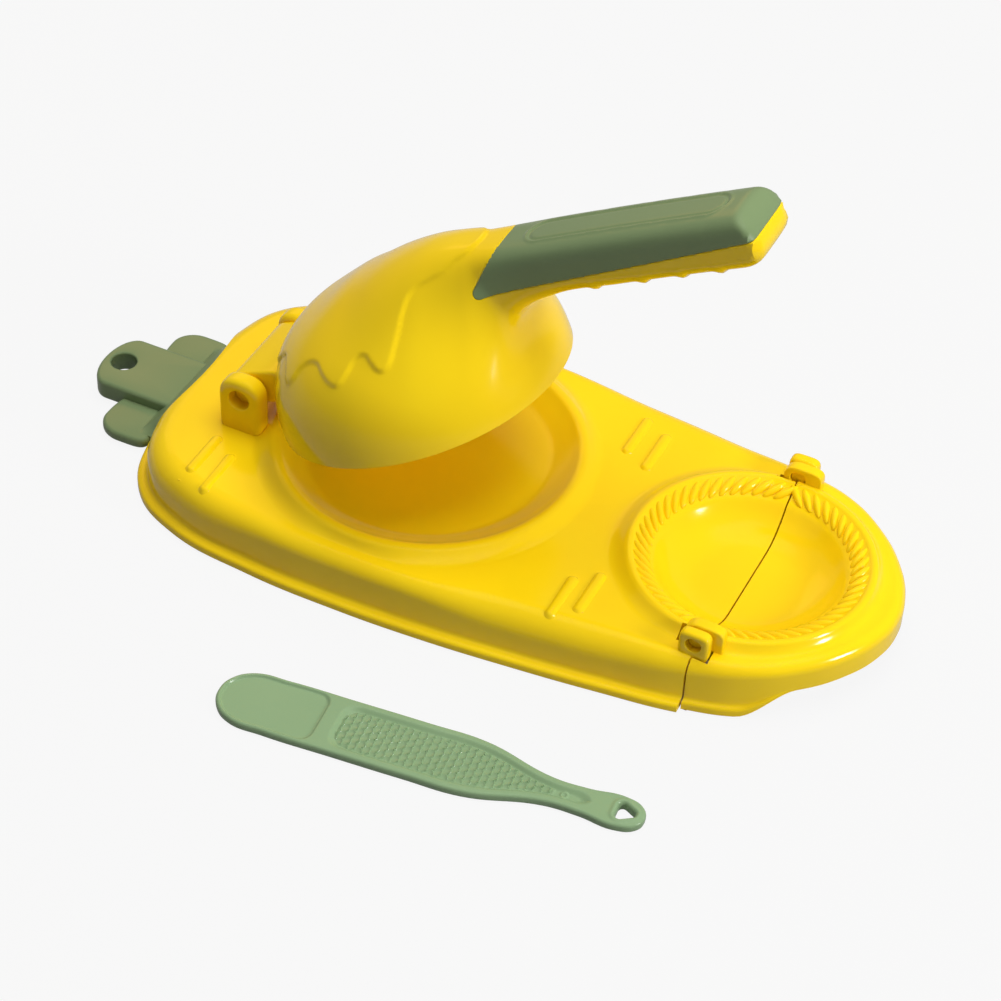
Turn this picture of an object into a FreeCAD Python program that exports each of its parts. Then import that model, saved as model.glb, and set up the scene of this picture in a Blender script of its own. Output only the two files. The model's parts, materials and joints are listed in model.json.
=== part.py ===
import FreeCAD, Part
import math
import os
from FreeCAD import Vector

# Two-station dumpling maker: a dough press (dish and hinged domed lid) and a folding crimp mould ahead of it.
# Millimetres, +Z up, +X towards the mould's tip. Heights below are above the table.
# The finished solids are lowered so that the origin is the middle of the dish floor.
# The lid is built closed and turned open about its pins at the end. The flap is built lying open.

os.makedirs("parts", exist_ok=True)

# Layout of the base
base_half_width = 67.0        # wall to middle at the dish
base_rear = 97.5              # dish middle to the rear wall
fold_half_width = 55.5        # wall to middle at the fold line
tip_margin = 13.5             # mould to the flap's tip
mould_gap = 16.5              # between the dish's collar and the mould's skirt
deck_height = 20.5            # table to the top of the deck
foot_proud = 0.8              # how far the feet stand below the base
edge_round = 9.0              # rolled edge of the deck
wall = 2.4                    # side walls and deck
lip_width = 4.0               # flange round the foot of the wall
lip_height = 3.2
lip_round = 1.4
flap_lip_width = 2.0          # the flap's flange is narrower
fold_gap = 0.6                # slot between base and flap at the fold line
overrun = 1.0                 # how far cutters and rooted pieces run past a face
edge_match = 0.05             # how near an edge lies to the height it is looked for at

# Half outline of the wall, rear to tip: shares of reach and of half width
rear_outline_shares = ((-1.0, 0.0), (-0.985, 0.42), (-0.895, 0.725), (-0.70, 0.90), (-0.36, 0.982))
side_outline_shares = ((0.0, 1.0), (0.26, 0.985), (0.52, 0.945), (0.77, 0.893))
tip_outline_shares = ((0.0, 1.0), (0.34, 0.895), (0.62, 0.71), (0.845, 0.455), (0.965, 0.215), (1.0, 0.0))

# Dish and its collar, from the side wall inwards
deck_margin = 6.5             # side wall to the collar's foot
collar_run = 5.5              # collar's foot to its crest
dish_run = 12.0               # crest to the edge of the dish floor
dish_floor_height = 19.0
dish_floor_thickness = 2.2
crest_rise = 3.3              # collar crest above the deck
crest_round = 2.2             # half breadth of the rounded crest
crest_drop = 0.7              # crest edge below its top

# Crimp mould, one half in the base and one in the flap
mould_margin = 14.5           # side wall to the rim's inner edge at the fold line
rim_land = 1.8
rim_rise = 3.4                # rim above the deck
rim_foot = 4.2                # sloping skirt outside the rim
ring_width = 6.2              # ribbed ring, measured level
ring_depth = 7.6              # ribbed ring, measured down
bowl_depth = 13.7
bowl_run = 15.8               # ribbed ring's foot to the edge of the bowl floor
mould_wall = 2.0
crimp_count = 28              # ribs in one half
crimp_width = 2.1
crimp_proud = 0.9
crimp_length_share = 0.86     # of the ring's slope
crimp_slant = 30.0            # degrees
bowl_bend_shares = (0.42, 0.30)   # middle point of the bowl's wall: share out, share up

# Flap hinge: outer lugs on the base, inner ears on the flap, a pin through each pair
flap_axis_rise = 0.9          # hinge axis above the rim
flap_ear_clear = 1.2          # rim's inner edge to the ear's inner face
flap_ear_thickness = 4.3
flap_ear_radius = 5.4         # ear round the pin, behind the fold line
flap_ear_top = 4.9            # ear's flat top above the axis
flap_ear_length = 8.8         # ear ahead of the axis
flap_ear_corner = 4.0
flap_lug_thickness = 4.4
flap_lug_half = 5.5           # half breadth of the lug
flap_lug_top = 4.8            # lug's top above the axis
flap_lug_corner = 3.0
flap_lug_radius = 6.8         # lug's round foot ahead of the fold line
hinge_side_gap = 0.4          # between lug and ear
swing_gap = 0.7               # round a turning ear
flap_pin_radius = 2.8
flap_pin_recess = 1.2         # pin end below the lug's face
flap_pin_end_gap = 0.3
flap_notch_start = 18.5       # finger cut-away, measured from the fold line
flap_notch_run = 12.5
flap_notch_height = 9.6       # skirt above the table round the tip

# Lid hinge: two ears on the base, a tab on the lid, a pin through each ear
lid_axis_out = 8.6            # collar crest to hinge axis
lid_axis_rise = 14.0          # hinge axis above the deck
lid_ear_inner = 17.2
lid_ear_thickness = 7.0
lid_ear_radius = 7.6
lid_pin_radius = 4.0
lid_pin_recess = 1.6
lid_pin_engage = 9.0          # pin length inside the tab
tab_rear = 6.6                # tab behind the axis
tab_above = 6.6
tab_below = 6.6
tab_round = 4.0
pin_seat_gap = 0.02           # pin in its ear or lug
pin_run_gap = 0.06            # pin in the turning piece
pin_chamfer = 0.5
lid_rest_angle = 23.0         # degrees open in the rest pose

# Domed lid, closed
dome_inset = 1.5              # dome rim inside the collar crest
dome_height = 40.5
dome_wall = 2.2
dome_seat = 1.6               # dome rim above the collar crest when closed
dome_power = 2.3              # fullness of the dome's curve
dome_steps = 8

# Handle, heights above the dome's rim plane with the lid closed
handle_reach = 151.2          # dish middle to the handle's end
grip_start = 43.0             # dish middle to the grip cover's front at its lower edge
grip_lean = 12.0              # how far the cover's front edge leans back
grip_half_width = 13.0
root_top = 55.6               # handle's top above the rim plane where the cover starts
tip_top = 65.2                # handle's top at its end
root_bottom = 37.0            # underside above the rim plane below the cover's middle
tip_bottom = 45.2
root_parting = 41.0           # cover's lower edge at its front
tip_parting = 57.0
grip_wall = 2.2
grip_fit = 0.15               # cover to handle
grip_power = 3.4              # squareness of the handle's section
section_points = 20
finger_ridge_radius = 3.4
finger_ridge_proud = 0.4
finger_ridge_shares = (0.41, 0.58, 0.715, 0.845)   # places along the grip
snap_width = 8.0
snap_depth = 5.0
snap_thickness = 1.4
snap_shares = (0.30, 0.62)

# Neck and handle sections: share of the way from dish middle to the cover's front (first table) and from
# there to the end (second table), then shares of half width, top and bottom
neck_shares = ((-0.72, 1.60, 0.58, 0.20), (-0.36, 1.50, 0.775, 0.24), (0.0, 1.36, 0.875, 0.30),
               (0.38, 1.20, 0.945, 0.38), (0.72, 1.08, 0.985, 0.50))
grip_shares = ((0.0, 1.02, 0.0, -1.45), (0.13, 1.0, 0.10, -0.35), (0.27, 1.0, 0.26, 0.12),
               (0.50, 1.0, 0.52, 0.46), (0.80, 0.99, 0.82, 0.82), (0.94, 0.97, 0.94, 0.95),
               (0.985, 0.88, 0.88, 1.12), (1.0, 0.72, 0.66, 1.5))

# Press plate under the dome
plate_clear = 2.0             # plate edge inside the dish floor's edge
plate_thickness = 2.4
plate_gap = 2.2               # dough thickness left over the dish floor
plate_rim_height = 5.0
plate_post_inset = 17.0       # posts inside the plate's edge
plate_post_radius = 3.0
plate_socket_wall = 1.8
plate_socket_height = 7.0
plate_post_fit = 0.08
plate_post_count = 4

# Leaf hanger at the rear
leaf_gap = 0.8                # underside above the table
leaf_side_thickness = 4.4
leaf_mid_under = 2.6          # middle lobe's underside above the table
leaf_mid_top = 9.4
leaf_round = 1.4
leaf_set = 7.0                # rear wall to the crease at the foot of the ramp
leaf_root_half = 28.0         # half breadth of the root
leaf_root_bow = 3.2           # root's front bows into the deck by this
leaf_root_depth = 9.6         # root's corners inside the crease
leaf_ramp_top = 18.4          # ramp's top above the table
leaf_fit = 0.2
leaf_mid_length = 31.5        # crease to the middle lobe's tip
leaf_mid_half = 14.2
leaf_lobe_radius = 9.6
leaf_lobe_out = 7.2           # crease to the side lobes' middles
leaf_lobe_side = 23.6
leaf_lobe_waist_share = 0.86
leaf_hole_out = 23.5          # crease to the hanging hole
leaf_hole_radius = 5.1
leaf_tongue_half = 15.0
leaf_tongue_length = 9.0
leaf_tongue_thickness = 3.0

# Feet, ribs and dashes of the base
foot_radius = 6.0
foot_height = 2.0
foot_fit = 0.05
foot_boss_wall = 1.8
foot_rear_inset = 29.5        # rear wall to the rear feet
foot_fold_inset = 26.0        # fold line to the front feet
foot_side_inset = 23.0        # side wall to the feet
stiffener = 1.8
stiffener_height = 9.0
stiffener_shares = (-0.56, 0.56)  # of the fold line's distance
dash_width = 3.4
dash_proud = 1.0
dash_length = 21.0
# Dashes on the deck: share of the fold line's distance, share of the half width at the dash's middle
dash_shares = ((-0.55, -0.62), (-0.477, -0.715), (0.598, -0.695), (0.66, -0.605),
               (0.508, 0.615), (0.585, 0.54), (-0.55, 0.62), (-0.477, 0.715))

# Filling spatula lying in front of the base
spatula_length = 149.5
spatula_half_width = 12.4
spatula_neck_half = 5.6
spatula_tail_half = 7.0
spatula_thickness = 3.2
spatula_round = 1.0
spatula_back = 14.6           # blade end behind the dish middle
spatula_gap = 56.6            # side wall to the blade end's middle
spatula_turn = 5.6            # degrees
spatula_panel_depth = 0.5
spatula_eye = 2.6             # hanging eye: middle to each rounded corner
spatula_eye_corner = 1.8
spatula_eye_corners = 3
# Half outline of the spatula: share of its length, share of the blade's half width
spatula_blade_shares = ((0.0, 0.0), (0.012, 0.50), (0.055, 0.90), (0.14, 0.99), (0.30, 1.0),
                        (0.47, 1.0), (0.61, 0.97))
spatula_neck_shares = ((0.78, 1.0), (0.86, 0.98))
spatula_tail_shares = ((0.945, 0.96), (0.988, 0.62), (1.0, 0.0))
spatula_blade_panel_shares = (0.03, 0.235, 0.72)
spatula_grip_panel_shares = (0.29, 0.79, 0.62, 0.18)

# Worked out from the sizes above
sides = (-1, 1)
collar_foot_radius = base_half_width - deck_margin
crest_radius = collar_foot_radius - collar_run
dish_floor_radius = crest_radius - dish_run
mould_radius = fold_half_width - mould_margin
ring_foot_radius = mould_radius - ring_width
bowl_floor_radius = ring_foot_radius - bowl_run
skirt_radius = mould_radius + rim_land + rim_foot
mould_offset = collar_foot_radius + mould_gap + skirt_radius
flap_reach = mould_radius + tip_margin
flap_ear_inner = mould_radius + flap_ear_clear
lid_axis_x = -crest_radius - lid_axis_out
dome_radius = crest_radius - dome_inset
plate_radius = dish_floor_radius - plate_clear
plate_post_ring = plate_radius - plate_post_inset
leaf_crease = base_rear + leaf_set
leaf_mid_reach = leaf_crease + leaf_mid_length
leaf_lobe_back = leaf_crease + leaf_lobe_out
leaf_hole_back = leaf_crease + leaf_hole_out
foot_back = base_rear - foot_rear_inset
foot_front = mould_offset - foot_fold_inset
foot_side = base_half_width - foot_side_inset
spatula_front = base_half_width + spatula_gap
base_bottom = foot_proud
deck_under = deck_height - wall
rim_height = deck_height + rim_rise
crest_height = deck_height + crest_rise
flap_axis_height = rim_height + flap_axis_rise
flap_ear_outer = flap_ear_inner + flap_ear_thickness
flap_lug_inner = flap_ear_outer + hinge_side_gap
flap_lug_outer = flap_lug_inner + flap_lug_thickness
lid_axis_height = deck_height + lid_axis_rise
lid_ear_outer = lid_ear_inner + lid_ear_thickness
tab_half = lid_ear_inner - hinge_side_gap
dome_rim_height = crest_height + dome_seat
base_end = mould_offset - fold_gap / 2
flap_end = mould_offset + fold_gap / 2
far_reach = 3 * mould_offset
plate_bottom = dish_floor_height + plate_gap
grip_length = handle_reach - grip_start


def box(x0, x1, y0, y1, z0, z1):
    """Box between two corners."""
    return Part.makeBox(x1 - x0, y1 - y0, z1 - z0, Vector(x0, y0, z0))


def rod_y(radius, x, z, y0, y1):
    """Cylinder along Y."""
    return Part.makeCylinder(radius, y1 - y0, Vector(x, y0, z), Vector(0, 1, 0))


def rod_z(radius, x, y, z0, z1):
    """Cylinder along Z."""
    return Part.makeCylinder(radius, z1 - z0, Vector(x, y, z0))


def fused(first, *others):
    """Union of several solids."""
    return first.multiFuse(list(others))


def smooth_loop(points):
    """Closed smooth wire through points."""
    curve = Part.BSplineCurve()
    curve.interpolate(Points=points, PeriodicFlag=True)
    return Part.Wire([curve.toShape()])


def smooth_edge(points, start=None, end=None):
    """Open smooth edge through points, with end directions where they are given."""
    curve = Part.BSplineCurve()
    if start is None:
        curve.interpolate(points)
    else:
        curve.interpolate(Points=points, InitialTangent=start, FinalTangent=end)
    return curve.toShape()


def lines(points):
    """Straight edges through points."""
    return [Part.LineSegment(a, b).toShape() for a, b in zip(points, points[1:])]


def spun(edges, x=0.0):
    """Solid of revolution about the upright axis at x, from edges in the XZ plane."""
    face = Part.Face(Part.Wire(Part.__sortEdges__(edges)))
    solid = face.revolve(Vector(0, 0, 0), Vector(0, 0, 1), 360)
    solid.translate(Vector(x, 0, 0))
    return solid


def prism_y(points, y0, y1):
    """Solid with a straight-sided XZ outline, from y0 to y1."""
    ring = [Vector(x, y0, z) for x, z in points]
    face = Part.Face(Part.makePolygon(ring + ring[:1]))
    return face.extrude(Vector(0, y1 - y0, 0))


def slab(wire, z0, z1):
    """Upright solid on a level wire."""
    face = Part.Face(wire)
    face.translate(Vector(0, 0, z0))
    return face.extrude(Vector(0, 0, z1 - z0))


def level_edges(solid, z):
    """Edges that lie level at height z."""
    found = []
    for edge in solid.Edges:
        reach = edge.BoundBox
        if abs(reach.ZMin - z) < edge_match and abs(reach.ZMax - z) < edge_match:
            found.append(edge)
    return found


def superellipse(half_width, height, power, turn):
    """Point of a squarish quarter curve at an angle from its side."""
    across = half_width * math.cos(turn) ** (2 / power)
    up = height * math.sin(turn) ** (2 / power)
    return across, up


def outline(grow):
    """Plan outline of the wall, grown outwards."""
    half = [(base_rear * sx, base_half_width * sy) for sx, sy in rear_outline_shares]
    half += [(mould_offset * sx, base_half_width * sy) for sx, sy in side_outline_shares]
    half += [(mould_offset + flap_reach * sx, fold_half_width * sy) for sx, sy in tip_outline_shares]
    ring = half + [(x, -y) for x, y in half[-2:0:-1]]
    grown = []
    for i, (x, y) in enumerate(ring):
        before = ring[i - 1]
        after = ring[(i + 1) % len(ring)]
        along = Vector(after[0] - before[0], after[1] - before[1], 0).normalize()
        grown.append(Vector(x - along.y * grow, y + along.x * grow, 0))
    return smooth_loop(grown)


def outer_block(flange):
    """Base and flap as one solid block with a rolled deck edge and a flange at its foot."""
    body = slab(outline(0), base_bottom, deck_height)
    body = body.makeFillet(edge_round, level_edges(body, deck_height))
    lip = slab(outline(flange), base_bottom, base_bottom + lip_height)
    lip = lip.makeFillet(lip_round, level_edges(lip, base_bottom + lip_height))
    return fused(body, lip)


def hollow(inset):
    """Space inside the walls and under the deck, inset from the outside."""
    top = deck_height - inset
    space = slab(outline(-inset), base_bottom - overrun, top)
    return space.makeFillet(edge_round - inset, level_edges(space, top))


def behind(x):
    """Everything behind a cross plane."""
    return box(x - far_reach, x, -far_reach, far_reach, -far_reach, far_reach)


def ahead(x):
    """Everything ahead of a cross plane."""
    return box(x, x + far_reach, -far_reach, far_reach, -far_reach, far_reach)


def dish_body():
    """Dish floor and collar."""
    floor_under = dish_floor_height - dish_floor_thickness
    crest_out = Vector(crest_radius + crest_round, 0, crest_height - crest_drop)
    crest_top = Vector(crest_radius, 0, crest_height)
    crest_in = Vector(crest_radius - crest_round, 0, crest_height - crest_drop)
    edges = lines([crest_in, Vector(dish_floor_radius, 0, dish_floor_height), Vector(0, 0, dish_floor_height),
                   Vector(0, 0, floor_under), Vector(dish_floor_radius + wall, 0, floor_under),
                   Vector(collar_foot_radius, 0, deck_under), Vector(collar_foot_radius, 0, deck_height),
                   crest_out])
    edges.append(Part.Arc(crest_out, crest_top, crest_in).toShape())
    return spun(edges)


def cup_points(grow):
    """Bowl curve from its floor to the ribbed ring's top, moved outwards by a wall."""
    ring_height = rim_height - ring_depth
    floor_height = rim_height - bowl_depth
    out, up = bowl_bend_shares
    bend = Vector(bowl_floor_radius + out * bowl_run, 0, floor_height + up * (ring_height - floor_height))
    slope = Vector(ring_depth, 0, -ring_width).normalize()
    floor_end = Vector(bowl_floor_radius, 0, floor_height)
    ring_foot = Vector(ring_foot_radius, 0, ring_height)
    ring_top = Vector(mould_radius, 0, rim_height)
    down = Vector(0, 0, -1)
    lean = (slope + down).normalize()
    return (Vector(0, 0, floor_height) + down * grow, floor_end + down * grow, bend + lean * grow,
            ring_foot + slope * grow, ring_top + slope * grow)


def mould_body():
    """Whole round mould: ribbed ring, bowl and rim, before it is cut at the fold line."""
    middle, floor_end, bend, ring_foot, ring_top = cup_points(0)
    middle_u, floor_end_u, bend_u, ring_foot_u, ring_top_u = cup_points(mould_wall)
    rim_out = Vector(mould_radius + rim_land, 0, rim_height)
    skirt = Vector(skirt_radius, 0, deck_height)
    under = Vector(skirt_radius, 0, deck_under)
    ring_under = ring_top_u + Vector(0, 0, deck_under - rim_height)
    edges = lines([middle, floor_end]) + [smooth_edge([floor_end, bend, ring_foot])]
    edges += lines([ring_foot, ring_top, rim_out, skirt, under, ring_under, ring_foot_u])
    edges += [smooth_edge([ring_foot_u, bend_u, floor_end_u])] + lines([floor_end_u, middle_u, middle])
    return spun(edges, mould_offset)


def crimp_ribs(side):
    """Slanted ribs round one half of the ring: side -1 is the base's half, 1 the flap's."""
    slope_length = math.hypot(ring_width, ring_depth)
    lean = math.degrees(math.atan2(ring_depth, ring_width))
    length = slope_length * crimp_length_share
    middle_radius = mould_radius - ring_width / 2
    middle_height = rim_height - ring_depth / 2
    pitch = 180.0 / crimp_count
    first = -90.0 if side > 0 else 90.0
    ribs = []
    for i in range(crimp_count):
        rib = Part.makeBox(length, crimp_width, 2 * crimp_proud,
                           Vector(-length / 2, -crimp_width / 2, -crimp_proud))
        rib = rib.makeFillet(crimp_proud / 2, level_edges(rib, crimp_proud))
        rib.rotate(Vector(0, 0, 0), Vector(0, 0, 1), side * crimp_slant)
        rib.rotate(Vector(0, 0, 0), Vector(0, 1, 0), -lean)
        rib.translate(Vector(middle_radius, 0, middle_height))
        rib.rotate(Vector(0, 0, 0), Vector(0, 0, 1), first + (i + 0.5) * pitch)
        rib.translate(Vector(mould_offset, 0, 0))
        ribs.append(rib)
    return ribs


def lid_ear(side):
    """Ear of the lid hinge, standing on the deck."""
    y0, y1 = sorted((side * lid_ear_inner, side * lid_ear_outer))
    head = rod_y(lid_ear_radius, lid_axis_x, lid_axis_height, y0, y1)
    root = box(lid_axis_x - lid_ear_radius, lid_axis_x + lid_ear_radius, y0, y1,
               deck_height - wall / 2, lid_axis_height)
    return fused(head, root)


def flap_lug(side):
    """Outer lug of the flap hinge, rooted in the base behind the fold line."""
    y0, y1 = sorted((side * flap_lug_inner, side * flap_lug_outer))
    top = flap_axis_height + flap_lug_top
    lug = box(mould_offset - flap_lug_half, mould_offset + flap_lug_half, y0, y1, deck_under - wall, top)
    lug = lug.makeFillet(flap_lug_corner, [e for e in level_edges(lug, top) if e.BoundBox.YLength > overrun])
    round_foot = rod_y(flap_lug_radius, mould_offset, flap_axis_height, y0, y1)
    return fused(lug.common(behind(base_end)), lug.common(ahead(base_end)).common(round_foot))


def dash(x, y):
    """Raised stroke with round ends lying across the deck."""
    half = (dash_length - dash_width) / 2
    low = deck_under
    high = deck_height + dash_proud
    bar = box(x - dash_width / 2, x + dash_width / 2, y - half, y + half, low, high)
    ends = [rod_z(dash_width / 2, x, y + s * half, low, high) for s in sides]
    raised = block.translated(Vector(0, 0, dash_proud))
    return fused(bar, *ends).common(raised)


def foot_places():
    """Middles of the four feet."""
    return [(x, s * foot_side) for x in (-foot_back, foot_front) for s in sides]


def leaf_root_wire(grow):
    """Plan outline of the leaf's root: straight at the crease, bowed where it runs into the deck."""
    rear = -leaf_crease - overrun
    corner = -leaf_crease + leaf_root_depth + grow
    half = leaf_root_half + grow
    near = Vector(corner, -half, 0)
    far = Vector(corner, half, 0)
    bow = Part.Arc(near, Vector(corner + leaf_root_bow, 0, 0), far).toShape()
    return Part.Wire(lines([far, Vector(rear, half, 0), Vector(rear, -half, 0), near]) + [bow])


def base_shell():
    """Base with its dish, its half of the mould, hinge ears and lugs, foot bosses and stiffeners."""
    rear_block = block.common(behind(base_end))
    space = cavity.common(behind(base_end - wall))
    shell = rear_block.cut(space)
    shell = shell.cut(rod_z(collar_foot_radius - overrun, 0, 0, -far_reach, far_reach))
    shell = shell.cut(rod_z(skirt_radius - overrun, mould_offset, 0, -far_reach, far_reach))
    half_mould = mould.common(behind(base_end))
    extra = [dish_body(), half_mould] + [rib.common(behind(base_end)) for rib in crimp_ribs(-1)]
    extra += [lid_ear(s) for s in sides] + [flap_lug(s) for s in sides]
    extra += [dash(mould_offset * sx, base_half_width * sy) for sx, sy in dash_shares]
    for x, y in foot_places():
        extra.append(rod_z(foot_radius + foot_boss_wall, x, y, base_bottom, deck_height - wall / 2))
    inside = hollow(wall / 2)
    for share in stiffener_shares:
        x = share * mould_offset
        rib = box(x - stiffener / 2, x + stiffener / 2, -base_half_width, base_half_width,
                  deck_height - wall / 2 - stiffener_height, deck_height - wall / 2)
        extra.append(rib.common(inside))
    shell = fused(shell, *extra)
    for s in sides:
        y0, y1 = sorted((s * (flap_ear_inner - hinge_side_gap), s * flap_lug_inner))
        reach = math.hypot(flap_ear_length, flap_ear_top) + swing_gap
        shell = shell.cut(box(mould_offset - reach, mould_offset, y0, y1, deck_under - wall, far_reach))
        y0, y1 = sorted((s * flap_lug_inner - s * overrun, s * (flap_lug_outer + overrun)))
        shell = shell.cut(rod_y(flap_pin_radius + pin_seat_gap, mould_offset, flap_axis_height, y0, y1))
        y0, y1 = sorted((s * (lid_ear_inner - overrun), s * (lid_ear_outer + overrun)))
        shell = shell.cut(rod_y(lid_pin_radius + pin_seat_gap, lid_axis_x, lid_axis_height, y0, y1))
    for x, y in foot_places():
        shell = shell.cut(rod_z(foot_radius + foot_fit, x, y, -overrun, foot_height))
    ramp_room = slab(leaf_root_wire(leaf_fit), -overrun, far_reach)
    tongue_end = -leaf_crease + leaf_root_depth + leaf_root_bow + leaf_tongue_length
    tongue_room = box(-leaf_crease, tongue_end + overrun,
                      -leaf_tongue_half - leaf_fit, leaf_tongue_half + leaf_fit,
                      leaf_gap - leaf_fit, leaf_gap + leaf_tongue_thickness + leaf_fit)
    rear_wall = slab(leaf_root_wire(leaf_fit + wall), base_bottom, deck_under).common(inside)
    return shell.fuse(rear_wall).cut(ramp_room).cut(tongue_room)


def flap_half():
    """Folding half of the mould with its inner ears and the finger cut-away round its tip."""
    front_block = outer_block(flap_lip_width).common(ahead(flap_end))
    space = cavity.common(ahead(flap_end + wall))
    shell = front_block.cut(space)
    shell = shell.cut(rod_z(skirt_radius - overrun, mould_offset, 0, -far_reach, far_reach))
    past_tip = flap_reach + lip_width + overrun
    notch = [(flap_notch_start, -overrun), (flap_notch_start + flap_notch_run, flap_notch_height),
             (past_tip, flap_notch_height), (past_tip, -overrun)]
    shell = shell.cut(prism_y([(mould_offset + x, z) for x, z in notch], -far_reach, far_reach))
    extra = [mould.common(ahead(flap_end))] + [rib.common(ahead(flap_end)) for rib in crimp_ribs(1)]
    for s in sides:
        y0, y1 = sorted((s * flap_ear_inner, s * flap_ear_outer))
        top = flap_axis_height + flap_ear_top
        web = box(mould_offset, mould_offset + flap_ear_length, y0, y1, deck_under - wall, top)
        front = mould_offset + flap_ear_length
        corners = [e for e in level_edges(web, top) if abs(e.BoundBox.XMin - front) < edge_match]
        web = web.makeFillet(flap_ear_corner, corners)
        low = box(mould_offset, flap_end, y0, y1, deck_under - wall, flap_axis_height - flap_ear_radius)
        extra.append(fused(web.cut(low), rod_y(flap_ear_radius, mould_offset, flap_axis_height, y0, y1)))
    shell = fused(shell, *extra)
    for s in sides:
        y0, y1 = sorted((s * (flap_lug_inner - hinge_side_gap), s * (flap_lug_outer + hinge_side_gap)))
        shell = shell.cut(rod_y(flap_lug_radius + swing_gap, mould_offset, flap_axis_height, y0, y1))
        y0, y1 = sorted((s * (flap_ear_inner - overrun), s * (flap_ear_outer + overrun)))
        shell = shell.cut(rod_y(flap_pin_radius + pin_run_gap, mould_offset, flap_axis_height, y0, y1))
    return shell


def flap_pin(side):
    """Pin pushed through a lug into the flap's ear."""
    y0, y1 = sorted((side * (flap_ear_inner + flap_pin_end_gap), side * (flap_lug_outer - flap_pin_recess)))
    pin = rod_y(flap_pin_radius, mould_offset, flap_axis_height, y0, y1)
    return pin.makeChamfer(pin_chamfer, [e for e in pin.Edges if e.isClosed()])


def lid_pin(side):
    """Pin pushed through an ear into the lid's tab."""
    y0, y1 = sorted((side * (tab_half - lid_pin_engage), side * (lid_ear_outer - lid_pin_recess)))
    pin = rod_y(lid_pin_radius, lid_axis_x, lid_axis_height, y0, y1)
    return pin.makeChamfer(pin_chamfer, [e for e in pin.Edges if e.isClosed()])


def dome_solid(inset):
    """Solid dome, inset from the outside."""
    radius = dome_radius - inset
    height = dome_height - inset
    low = dome_rim_height - (overrun if inset else 0.0)
    curve = []
    for i in range(dome_steps + 1):
        across, up = superellipse(radius, height, dome_power, math.pi / 2 * i / dome_steps)
        curve.append(Vector(max(across, 0.0), 0, dome_rim_height + up))
    curve[-1] = Vector(0, 0, dome_rim_height + height)
    edges = [smooth_edge(curve, Vector(0, 0, 1), Vector(-1, 0, 0))]
    edges += lines([curve[-1], Vector(0, 0, low), Vector(radius, 0, low)])
    if inset:
        edges += lines([Vector(radius, 0, low), curve[0]])
    return spun(edges)


def handle_section(x, half_width, top, bottom, inset):
    """Closed squarish section of the neck or handle across the handle."""
    middle = dome_rim_height + (top + bottom) / 2
    points = []
    for i in range(section_points):
        turn = 2 * math.pi * (i + 0.5) / section_points
        quarter_turn = math.acos(abs(math.cos(turn)))
        across, up = superellipse(half_width - inset, (top - bottom) / 2 - inset, grip_power, quarter_turn)
        across = math.copysign(across, math.cos(turn))
        up = math.copysign(up, math.sin(turn))
        points.append(Vector(x, across, middle + up))
    return smooth_loop(points)


def handle_solid(inset):
    """Neck and handle as one smooth body, inset from the outside."""
    wires = []
    for share, width, top, bottom in neck_shares:
        wires.append(handle_section(share * grip_start, width * grip_half_width, top * root_top,
                                    bottom * root_bottom, inset))
    for share, width, top, bottom in grip_shares:
        x = min(grip_start + share * grip_length, handle_reach - inset)
        wires.append(handle_section(x, width * grip_half_width, root_top + top * (tip_top - root_top),
                                    root_bottom + bottom * (tip_bottom - root_bottom), inset))
    return Part.makeLoft(wires, True, False)


def cover_room(gap):
    """Space above the parting line and ahead of the cover's leaning front edge."""
    rise = root_parting + dome_rim_height + gap
    far_rise = tip_parting + dome_rim_height + gap
    high = rise + tip_top
    lean = grip_lean * (high - rise) / (root_top - root_parting)
    end = handle_reach + grip_lean
    far_end_rise = far_rise + (far_rise - rise) * grip_lean / grip_length
    points = [(grip_start + gap, rise), (end, far_end_rise), (end, high + tip_top),
              (grip_start + lean + gap, high)]
    return prism_y(points, -far_reach, far_reach)


def finger_ridges():
    """Low ridges across the handle's underside."""
    ridges = []
    for share in finger_ridge_shares:
        x = grip_start + share * grip_length
        underside = dome_rim_height + root_bottom + share * (tip_bottom - root_bottom)
        half = grip_half_width - finger_ridge_radius
        z = underside + finger_ridge_radius - finger_ridge_proud
        ridges.append(rod_y(finger_ridge_radius, x, z, -half, half))
    return ridges


def opened(shape):
    """Turns a lid piece from closed to its rest pose."""
    shape = shape.copy()
    shape.rotate(Vector(lid_axis_x, 0, lid_axis_height), Vector(0, 1, 0), -lid_rest_angle)
    return shape


def post_places():
    """Middles of the posts that carry the press plate."""
    turns = [math.pi / 4 + 2 * math.pi * i / plate_post_count for i in range(plate_post_count)]
    return [(plate_post_ring * math.cos(t), plate_post_ring * math.sin(t)) for t in turns]


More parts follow.
